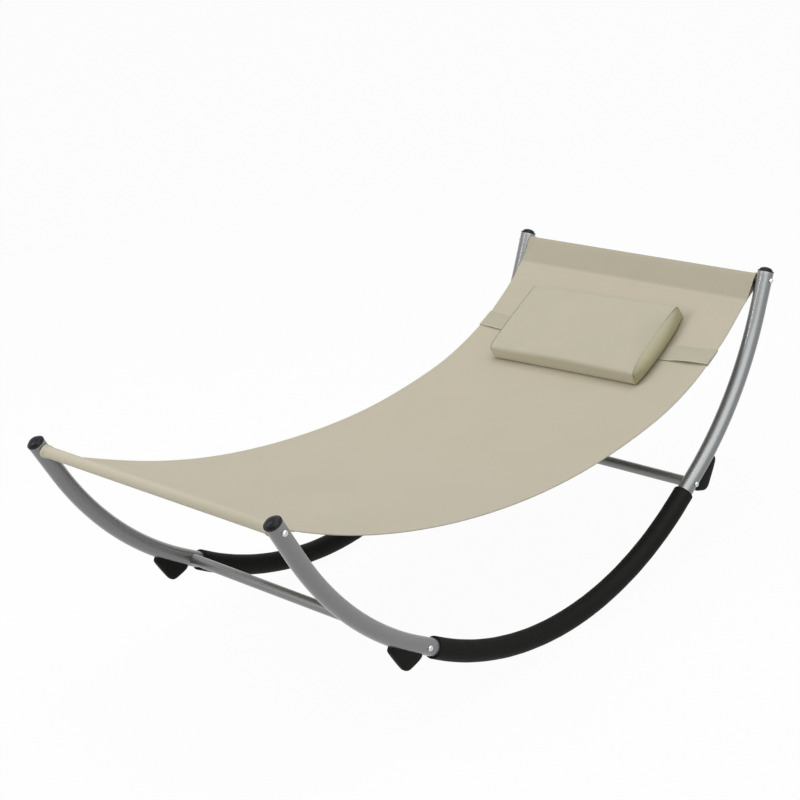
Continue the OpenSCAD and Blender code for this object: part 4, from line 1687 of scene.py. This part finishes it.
@dataclass
class Pillow:
    """A boxed pillow: one panel wrapped round it, with a gusset sewn in at each side.

    turn is its angle on the sling. waist and top_waist are how far the sides draw in between
    the corners at the bottom and, on the left and the right, at the top. cells are the mesh's
    cells across, along and up. folds are (side, slope, depth) of the soft folds that start at
    a front corner. The cloth simulation takes frames steps, with the pressure inside and the
    stiffness stretch, shear and bend. stitch_past is how far the stitches go on past the top,
    in points of the seam.
    """

    centre: Pair = (-3 * MM, 220 * MM)
    turn: float = math.radians(1.9)
    half_w: float = 217 * MM
    half_l: float = 120 * MM
    front: float = 38 * MM
    back: float = 43 * MM
    base: float = 2.8 * MM
    corner: float = 9 * MM
    waist: float = 1 * MM
    top_waist: Pair = (-12 * MM, 19 * MM)
    gusset: float = 9 * MM
    gusset_on_cloth: float = 0.3
    round_power: float = 2.6
    weld: float = 0.02 * MM
    cells: tuple[int, int, int] = (72, 40, 7)
    frames: int = 20
    pressure: float = 0.65
    stretch: float = 40.0
    shear: float = 13.0
    bend: float = 3.0
    quality: int = 6
    even_rounds: int = 10
    most_swell: float = 16 * MM
    pucker_h: float = 0.9 * MM
    pucker_pitch: float = 21 * MM
    pucker_reach: float = 16 * MM
    folds: tuple = ((Side.RIGHT, 0.75, 2.4 * MM), (Side.RIGHT, 1.35, 1.4 * MM), (Side.LEFT, 0.8, 1.6 * MM))
    fold_at: float = 3 * MM
    fold_width: float = 6 * MM
    fold_reach: float = 42 * MM
    fold_start: float = 12 * MM
    creased_from: Pair = (8 * MM, 20 * MM)
    seam_pull: float = 1.2 * MM
    seam_near: float = 0.1 * MM
    painted_shade_to: Pair = (0.7, 1.25)
    stitch: Stitch = Stitch(4.6 * MM, 0.94, 0.7 * MM)
    stitch_out: float = 1.6 * MM
    stitch_sunk: float = 1.2 * MM
    stitch_past: int = 3

    def lattice(self) -> tuple[Shell, np.ndarray]:
        """The pillow before it is blown up, as a box of square cells.

        Its section is one loop: along the bottom, up the front, back over the top and down.
        The gussets bulge out by gusset (1 - v^4) (1 - w^2), and below a drawn-in top edge also
        by a superellipse's shoulder.

        Returns:
            The shell in the pillow's own space (across, along, up), and the numbers of the
            points on the two gusset seams, one row each.
        """
        nx, ny, nz = self.cells
        forth, back = np.linspace(1, -1, ny + 1), np.linspace(-1, 1, ny + 1)
        rise, fall = np.linspace(-1, 1, nz + 1), np.linspace(1, -1, nz + 1)
        v = np.concatenate([forth[:-1], np.full(nz, -1.0), back[:-1], np.full(nz, 1.0)])
        w = np.concatenate([np.full(ny, -1.0), rise[:-1], np.full(ny, 1.0), fall[:-1]])
        loop = self.rounded(v, w)
        share = np.linspace(-1, 1, nx + 1)
        panel = self.spread(share[:, None], loop[None, :, 0], loop[None, :, 1])
        run = lengths_along(np.concatenate([loop, loop[:1]]))
        uv = np.stack(np.broadcast_arrays(share[:, None] * self.half_w, run[None, :]), -1)
        body = Shell.from_grid(panel, closed=(False, True), uv=uv)
        vi, wi = np.meshgrid(forth, rise, indexing="ij")
        face = self.rounded(vi.ravel(), wi.ravel()).reshape(ny + 1, nz + 1, 2)
        up = (wi + 1) / 2
        shoulder = (1 - up**self.round_power) ** (1 / self.round_power) - (1 - up)
        sides = []
        for s, drawn in zip((-1, 1), self.top_waist):
            full = self.gusset * (1 - vi**4) * (1 - wi**2) + max(drawn, 0) * (1 - vi**2) * shoulder
            grid = self.spread(np.array(float(s)), face[..., 0], face[..., 1])
            grid[..., 0] += s * full
            sides.append(Shell.from_grid(grid, uv=face + [0, self.gusset_on_cloth * s]))
        return self.sewn([body, *sides], nx, len(v))

    def rounded(self, v: np.ndarray, w: np.ndarray) -> np.ndarray:
        """Places of the section's points.

        The section is a wedge, higher at the back. Near a corner a point keeps its greater
        distance from the corner's centre, so that the corner's square turns into a disc.

        Args:
            v: places along, -1 at the front to 1 at the back.
            w: places up, -1 at the bottom to 1 at the top.

        Returns:
            The places (along, up), (n, 2).
        """
        height = self.front + (self.back - self.front) * (v + 1) / 2
        a, h = v * self.half_l, (w + 1) / 2 * height
        mid = height / 2
        radius = np.minimum(self.corner, mid)
        ca = np.sign(v) * (self.half_l - radius)
        ch = mid + np.sign(w) * (mid - radius)
        da, dh = a - ca, h - ch
        in_corner = (da * np.sign(v) > 0) & (dh * np.sign(w) > 0)
        longest = np.maximum(np.abs(da), np.abs(dh))
        scale = np.where(in_corner, longest / np.maximum(np.hypot(da, dh), TINY), 1.0)
        along = np.where(in_corner, ca + da * scale, a)
        return np.stack([along, np.where(in_corner, ch + dh * scale, h)], -1)

    def spread(self, share: np.ndarray, a: np.ndarray, h: np.ndarray) -> np.ndarray:
        """Points of the box: the sides draw in between the corners, most at the top.

        Args:
            share: places across, -1 to 1.
            a: places along.
            h: heights.

        Returns:
            The points (across, along, up).
        """
        height = self.front + (self.back - self.front) * (a / self.half_l + 1) / 2
        at_top = np.where(share < 0, *self.top_waist)
        most = self.waist + (at_top - self.waist) * h / height
        x = share * (self.half_w - most * (1 - (a / self.half_l) ** 2))
        return np.stack(np.broadcast_arrays(x, a, h), -1).astype(float)

    def sewn(self, parts: list[Shell], nx: int, loop: int) -> tuple[Shell, np.ndarray]:
        """Joins the panel and gussets, with the points that they share made one.

        Args:
            parts: the panel and the gussets.
            nx: the panel's cells across.
            loop: the number of points round the panel.

        Returns:
            The shell, and the numbers of the points on the two gusset seams, one row each.
        """
        whole = Shell.joined(parts)
        key = np.round(whole.points / self.weld).astype(np.int64)
        _, first, back = np.unique(key, axis=0, return_index=True, return_inverse=True)
        back = back.reshape(-1)
        seams = back[np.stack([np.arange(loop), nx * loop + np.arange(loop)])]
        tris = back[whole.tris].reshape(-1, 3)
        return Shell(whole.points[first], back[whole.quads], tris, whole.quad_uv, whole.tri_uv), seams

    def inflate(self, shell: Shell) -> np.ndarray:
        """Blows the pillow up with a cloth simulation, and keeps each point within most_swell.

        Args:
            shell: the pillow before.

        Returns:
            Its points after.
        """
        start = shell.points.copy()
        soft = shell.to_object("pillow_sim", bpy.data.materials.new("pillow_sim"))
        cloth = soft.modifiers.new("inflate", "CLOTH")
        cloth.settings.quality = self.quality
        cloth.settings.tension_stiffness = self.stretch
        cloth.settings.compression_stiffness = self.stretch
        cloth.settings.shear_stiffness = self.shear
        cloth.settings.bending_stiffness = self.bend
        cloth.settings.use_pressure = True
        cloth.settings.uniform_pressure_force = self.pressure
        cloth.settings.effector_weights.gravity = 0
        cloth.point_cache.frame_start, cloth.point_cache.frame_end = 1, self.frames
        scene = bpy.context.scene
        for number in range(1, self.frames + 1):
            scene.frame_set(number)
        shaped = soft.evaluated_get(bpy.context.evaluated_depsgraph_get()).data
        found = vertex_table(shaped, "co")
        scene.frame_set(1)
        bpy.data.objects.remove(soft, do_unlink=True)
        move = self.evened(found - start, shell.quads)
        far = np.linalg.norm(move, axis=1, keepdims=True)
        LOG.info("pillow swelled by up to %.1f mm", far.max() / MM)
        return start + move * np.minimum(1, self.most_swell / np.maximum(far, TINY))

    def evened(self, move: np.ndarray, quads: np.ndarray) -> np.ndarray:
        """Moves averaged with those of the neighbouring points, over and over.

        It takes out the sharp buckles of the simulation and leaves its broad swelling.

        Args:
            move: each point's move, (n, 3).
            quads: the faces, as rows of point numbers.

        Returns:
            The evened moves.
        """
        edges = np.concatenate([quads[:, [k, (k + 1) % 4]] for k in range(4)])
        edges = np.concatenate([edges, edges[:, ::-1]])
        count = np.bincount(edges[:, 0], minlength=len(move))[:, None]
        for _ in range(self.even_rounds):
            total = np.zeros_like(move)
            np.add.at(total, edges[:, 0], move[edges[:, 1]])
            move = (move + total / count) / 2
        return move

    def crease(self, p: np.ndarray) -> np.ndarray:
        """Height of the puckers by the gusset seams and the soft folds at the front corners.

        The puckers are sines along the seam with a wandering phase, which fall off as
        exp(-distance / pucker_reach). A fold is a groove along a line that slopes away from its
        corner, at its deepest between fold_start and fold_reach.

        Args:
            p: the pillow's points (across, along, up).

        Returns:
            The heights.
        """
        from_side = self.half_w - np.abs(p[:, 0])
        near = np.exp(-np.maximum(from_side, 0) / self.pucker_reach)
        wander = 1.7 * np.sin(p[:, 1] * 43)
        wave = np.sin(TURN * p[:, 1] / self.pucker_pitch + wander + np.sign(p[:, 0]))
        out = self.pucker_h * wave * near
        for side, slope, depth in self.folds:
            dx, dy = side.value * p[:, 0] - self.half_w, p[:, 1] + self.half_l
            line = (dy + slope * dx) / math.hypot(1, slope)
            reach = np.hypot(dx, dy)
            groove = depth * bump_at(line, self.fold_at, self.fold_width) * np.exp(-reach / self.fold_reach)
            out -= groove * ease(reach, 0, self.fold_start)
        return out

    def build(self, finishes: Finishes) -> None:
        """Makes the pillow and the stitches along its gusset seams.

        Args:
            finishes: the chair's finishes.
        """
        shell, seams = self.lattice()
        p = self.inflate(shell) + [0, 0, self.base]
        p[:, 2] += self.crease(p) * ease(p[:, 2], *self.creased_from)
        for seam in seams:
            p[seam] -= np.sign(p[seam, 0])[:, None] * self.seam_pull * ACROSS
        p[:, 2] = np.maximum(p[:, 2], self.base)
        # The gussets take a painted shade, strongest at their bottom.
        share = self.gusset_shade_share(shell.points)
        shell.points = self.on_sling(p)
        piece = shell.outward().to_object("pillow_pad", finishes.pillow)
        mark(piece, "share", share)
        smooth = piece.modifiers.new("smooth", "SUBSURF")
        smooth.levels = smooth.render_levels = 1
        finish_piece(piece, "pillow", "pillow_cloth", "pillow_cover", "pillow_filling")
        self.sew(piece, seams, finishes)

    def gusset_shade_share(self, p: np.ndarray) -> np.ndarray:
        """How far each point takes the gussets' painted shade, which fades out towards their top.

        It does so between the two heights painted_shade_to, which are shares of the front's height.

        Args:
            p: the points before the pillow is blown up.

        Returns:
            The shares, 0 off the gussets.
        """
        side = np.where(p[:, 0] < 0, -1.0, 1.0)
        edge = self.spread(side, p[:, 1], p[:, 2])[:, 0]
        at_side = np.abs(p[:, 0]) > np.abs(edge) - self.seam_near
        low, high = self.painted_shade_to
        return at_side * (1 - ease(p[:, 2], low * self.front, high * self.front))

    def on_sling(self, p: np.ndarray) -> np.ndarray:
        """Carries points onto the sling's head curve, turned a little.

        Args:
            p: points (across, along, up).

        Returns:
            The points in the chair's space.
        """
        c, s = math.cos(self.turn), math.sin(self.turn)
        x = self.centre[0] + c * p[:, 0] - s * p[:, 1]
        a = self.centre[1] + s * p[:, 0] + c * p[:, 1]
        return HANG.over(HANG.head_start + a, x, p[:, 2])

    def sew(self, piece: Piece, seams: np.ndarray, finishes: Finishes) -> None:
        """Lays a row of dark stitches along the top of each gusset seam, on the finished surface.

        Their darkness is partly the thread's own colour and partly a painted seam shadow.

        Args:
            piece: the pillow.
            seams: the numbers of the points on the seams, one row each.
            finishes: the chair's finishes.
        """
        shaped = piece.evaluated_get(bpy.context.evaluated_depsgraph_get()).data
        places, normals = vertex_table(shaped, "co"), vertex_table(shaped, "normal")
        _, ny, nz = self.cells
        rows = []
        for seam in seams:
            upper = seam[ny + nz - self.stitch_past : 2 * ny + nz + self.stitch_past]
            line, up = places[upper], normals[upper]
            out = np.sign(line[:1, 0])[:, None] * self.stitch_out * ACROSS
            rows.append(self.stitch.row(line + out - up * [0, self.stitch_sunk, self.stitch_sunk], up))
        thread = Shell.joined(rows).to_object("pillow_stitches", finishes.dark_thread_and_seam_shadow)
        finish_piece(thread, "pillow", "pillow_cloth")


@dataclass
class Strap:
    """The flat band round the sling that the pillow hangs on.

    columns are the mesh's places from its middle line to an edge, as shares of half its width.
    raised are (place across, height, width) of the stretches where its front edge stands up,
    which it does only beside the pillow.
    """

    width: float = 50 * MM
    thick: float = 1.1 * MM
    half: float = 348.2 * MM
    rise: float = 2.0 * MM
    middle: float = 236 * MM
    skew: float = 10.0 / 347.0
    sag: float = 15 * MM
    raised: tuple = ((300 * MM, 6 * MM, 60 * MM), (-300 * MM, 3 * MM, 50 * MM))
    beside: Pair = (226 * MM, 266 * MM)
    # Places across where the painted highlight along the front edge lies.
    painted_edge_highlight: Pair = (-0.97, -0.86)
    columns: tuple = (0.3, 0.6, 0.8, 0.9, 0.96, 1.0)
    steps: int = 88
    turn_steps: int = 9
    stitch: Stitch = Stitch(3 * MM, 0.72, 0.28 * MM)
    stitch_columns: tuple[int, int] = (3, -4)

    def loop(self) -> tuple[np.ndarray, np.ndarray]:
        """The band's way round the sling, which has a half circle round each edge of it.

        Returns:
            Places x across and heights h, from the left over the sling and back under it.
        """
        straight = np.linspace(-1, 1, self.steps + 2)[1:-1] * (self.half - self.rise)
        a = np.linspace(math.pi / 2, -math.pi / 2, self.turn_steps)
        edge_x, edge_h = self.half - self.rise + self.rise * np.cos(a), self.rise * np.sin(a)
        level = np.full(self.steps, self.rise)
        x = np.concatenate([straight, edge_x, straight[::-1], -edge_x[::-1]])
        return x, np.concatenate([level, edge_h, -level, edge_h[::-1]])

    def build(self, finishes: Finishes) -> None:
        """Makes the band and its stitches.

        The band follows the sling's curve, drifts headward by skew times x, and sags towards
        the foot by sag (1 - (x / half)^2) between the sling's edges.

        Args:
            finishes: the chair's finishes.
        """
        x, h = self.loop()
        t = np.array([-share for share in self.columns[::-1]] + [0.0, *self.columns])
        raised = sum(height * bump_at(x, place, width) for place, height, width in self.raised)
        lift = (raised * ease(np.abs(x), *self.beside))[:, None] * (0.5 - t / 2) ** 2
        up = h[:, None] + lift * (h > 0)[:, None]
        way = self.middle + self.skew * x - self.sag * (1 - (x / self.half) ** 2)
        along = way[:, None] + t * self.width / 2
        points = HANG.over(HANG.head_start + along, x[:, None], up)
        run = lengths_along(np.stack([x, h], -1))
        uv = np.stack(np.broadcast_arrays(t * self.width / 2, run[:, None]), -1)
        normals = grid_normals(points, closed=True)
        band = thin_shell(points, normals, self.thick, uv, closed=True)
        piece = band.to_object("strap_band", finishes.strap)
        # A painted highlight: the strap's front edge is made lighter.
        edge_highlight_share = 1 - ease(np.concatenate([t, t[::-1]]), *self.painted_edge_highlight)
        mark(piece, "share", np.tile(edge_highlight_share, len(x)))
        finish_piece(piece, "pillow", "strap_webbing", "pillow_strap")
        rows = []
        for k in self.stitch_columns:
            line, out = points[: self.steps, k], normals[: self.steps, k]
            rows += self.stitch.both_faces(line, out, self.thick)
        thread = Shell.joined(rows).to_object("strap_stitches", finishes.thread)
        finish_piece(thread, "pillow", "strap_webbing")


# Studio


@dataclass(frozen=True)
class Lamp:
    """A soft lamp that faces a point, with a width and a length along upright."""

    name: str
    place: Triple
    aim: Triple
    upright: Triple
    size: Pair
    power: float
    colour: Colour = (1.0, 1.0, 1.0)
    lights_matt: bool = True

    def build(self) -> None:
        """Makes the lamp, which shows only in reflections where it doesn't light matt surfaces."""
        data = bpy.data.lights.new(self.name, "AREA")
        data.shape, data.energy = "RECTANGLE", self.power
        data.size, data.size_y = self.size
        data.color = self.colour
        lamp = bpy.data.objects.new(self.name, data)
        lamp.location = self.place
        lamp.visible_diffuse = self.lights_matt
        back = np.array(self.place) - np.array(self.aim)
        back /= np.linalg.norm(back)
        side = np.cross(self.upright, back)
        side /= np.linalg.norm(side)
        lamp.rotation_euler = Matrix([side, np.cross(back, side), back]).transposed().to_euler()
        bpy.context.scene.collection.objects.link(lamp)


@dataclass
class Studio:
    """A white floor and surroundings, soft lamps, and the photograph's camera.

    surround is the strength of the soft light from all round, and glow the share of the floor
    that the camera sees as plain white.
    """

    place: Triple = (2.75961, -2.73041, 1.99874)
    right: Triple = (0.7166694, 0.68942, -0.1052855)
    up: Triple = (-0.18406532, 0.33259272, 0.92493353)
    ahead: Triple = (-0.67268487, 0.64349215, -0.36525734)
    lens: float = 83.571
    sensor: float = 36.0
    clip: Pair = (0.05, 200.0)
    floor_size: float = 40.0
    floor_colour: Colour = (0.86, 0.86, 0.86)
    glow: float = 0.96
    surround: float = 0.45
    surround_colour: Colour = (0.98, 0.99, 1.0)
    lamps: tuple[Lamp, ...] = (
        Lamp("strip", (-1.25, -2.2, 2.5), (0.3, 0.4, 0.4), (0.0, 0.0, 1.0), (0.22, 2.8), 42.0),
        Lamp("overhead", (0.3, 0.5, 3.2), (0.0, 0.2, 0.4), (0.0, 1.0, 0.0), (2.0, 2.0), 29.0),
        Lamp(
            name="card",
            place=(3.1, -0.8, 3.5),
            aim=(0.37, 0.7, 0.5),
            upright=(0.0, 0.87, 0.49),
            size=(5.4, 4.8),
            power=230.0,
            colour=(0.91, 0.97, 1.0),
            lights_matt=False,
        ),
    )

    def camera(self) -> None:
        """Sets the camera: its axes are right, up and the reverse of ahead."""
        data = bpy.data.cameras.new("camera")
        data.sensor_width, data.lens = self.sensor, self.lens
        data.clip_start, data.clip_end = self.clip
        camera = bpy.data.objects.new("camera", data)
        columns = [self.right, self.up, [-v for v in self.ahead]]
        camera.matrix_world = Matrix.Translation(self.place) @ Matrix(columns).transposed().to_4x4()
        bpy.context.scene.collection.objects.link(camera)
        bpy.context.scene.camera = camera

    @staticmethod
    def seen(tree: bpy.types.NodeTree) -> Socket:
        """1 for rays from the camera, or mirrored or let through on their way, else 0.

        Args:
            tree: the node tree that needs it.

        Returns:
            The socket that gives it.
        """
        rays = tree.nodes.new("ShaderNodeLightPath")
        socket = rays.outputs["Is Camera Ray"]
        for name in ("Is Glossy Ray", "Is Transmission Ray"):
            most = tree.nodes.new("ShaderNodeMath")
            most.operation = "MAXIMUM"
            tree.links.new(socket, most.inputs[0])
            tree.links.new(rays.outputs[name], most.inputs[1])
            socket = most.outputs[0]
        return socket

    @staticmethod
    def coloured(tree: bpy.types.NodeTree, kind: str, colour: Colour) -> bpy.types.Node:
        """Adds a shader node.

        Args:
            tree: the node tree.
            kind: the node's type.
            colour: its colour.

        Returns:
            The node.
        """
        node = tree.nodes.new(kind)
        node.inputs["Color"].default_value = (*colour, 1.0)
        return node

    @staticmethod
    def mixed(tree: bpy.types.NodeTree, output: str, *sockets: Socket) -> None:
        """Ends a tree with a mix: by the first socket's share, from the second to the third.

        Args:
            tree: the node tree.
            output: the output node's type.
            sockets: the share, and the shaders at 0 and at 1.
        """
        mix, out = tree.nodes.new("ShaderNodeMixShader"), tree.nodes.new(output)
        for number, socket in enumerate(sockets):
            tree.links.new(socket, mix.inputs[number])
        tree.links.new(mix.outputs[0], out.inputs[0])

    def world(self) -> None:
        """White to the camera, and a plain soft light to the chair."""
        world = bpy.data.worlds.new("studio")
        world.use_nodes = True
        tree = world.node_tree
        tree.nodes.clear()
        white = self.coloured(tree, "ShaderNodeBackground", WHITE)
        light = self.coloured(tree, "ShaderNodeBackground", self.surround_colour)
        light.inputs["Strength"].default_value = self.surround
        self.mixed(tree, "ShaderNodeOutputWorld", self.seen(tree), light.outputs[0], white.outputs[0])
        bpy.context.scene.world = world

    def floor(self) -> None:
        """A white floor that glows by itself to the camera, and keeps a faint shadow."""
        half = self.floor_size / 2
        grid = np.array([[[x, y, 0.0] for y in (-half, half)] for x in (-half, half)])
        material = bpy.data.materials.new("floor_white")
        material.use_nodes = True
        tree = material.node_tree
        tree.nodes.clear()
        matt = self.coloured(tree, "ShaderNodeBsdfDiffuse", self.floor_colour)
        glow = self.coloured(tree, "ShaderNodeEmission", WHITE)
        share = tree.nodes.new("ShaderNodeMath")
        share.operation = "MULTIPLY"
        share.inputs[1].default_value = self.glow
        tree.links.new(self.seen(tree), share.inputs[0])
        shaders = matt.outputs[0], glow.outputs[0]
        self.mixed(tree, "ShaderNodeOutputMaterial", share.outputs[0], *shaders)
        Shell.from_grid(grid).to_object("floor", material)

    def build(self) -> None:
        """Makes everything round the chair."""
        self.camera()
        self.world()
        self.floor()
        for lamp in self.lamps:
            lamp.build()
        bpy.context.scene.view_settings.view_transform = "Standard"


def write_sizes() -> None:
    """Updates the view layer."""
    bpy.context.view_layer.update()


def main() -> None:
    """Builds the chair's pieces in order, then the studio."""
    logging.basicConfig(level=logging.INFO, format="%(name)s: %(message)s")
    finishes = Finishes()
    EndTubes().build(finishes)
    FloorSleeves().build(finishes)
    bars = Crossbars().build(finishes)
    Bolts().build(finishes)
    EndCaps().build(finishes)
    RockingStops().build(finishes)
    dress_hidden_nodes(finishes)
    Sling().build(finishes, bars)
    Strap().build(finishes)
    Pillow().build(finishes)
    Studio().build()
    write_sizes()


if __name__ == "__main__":
    main()
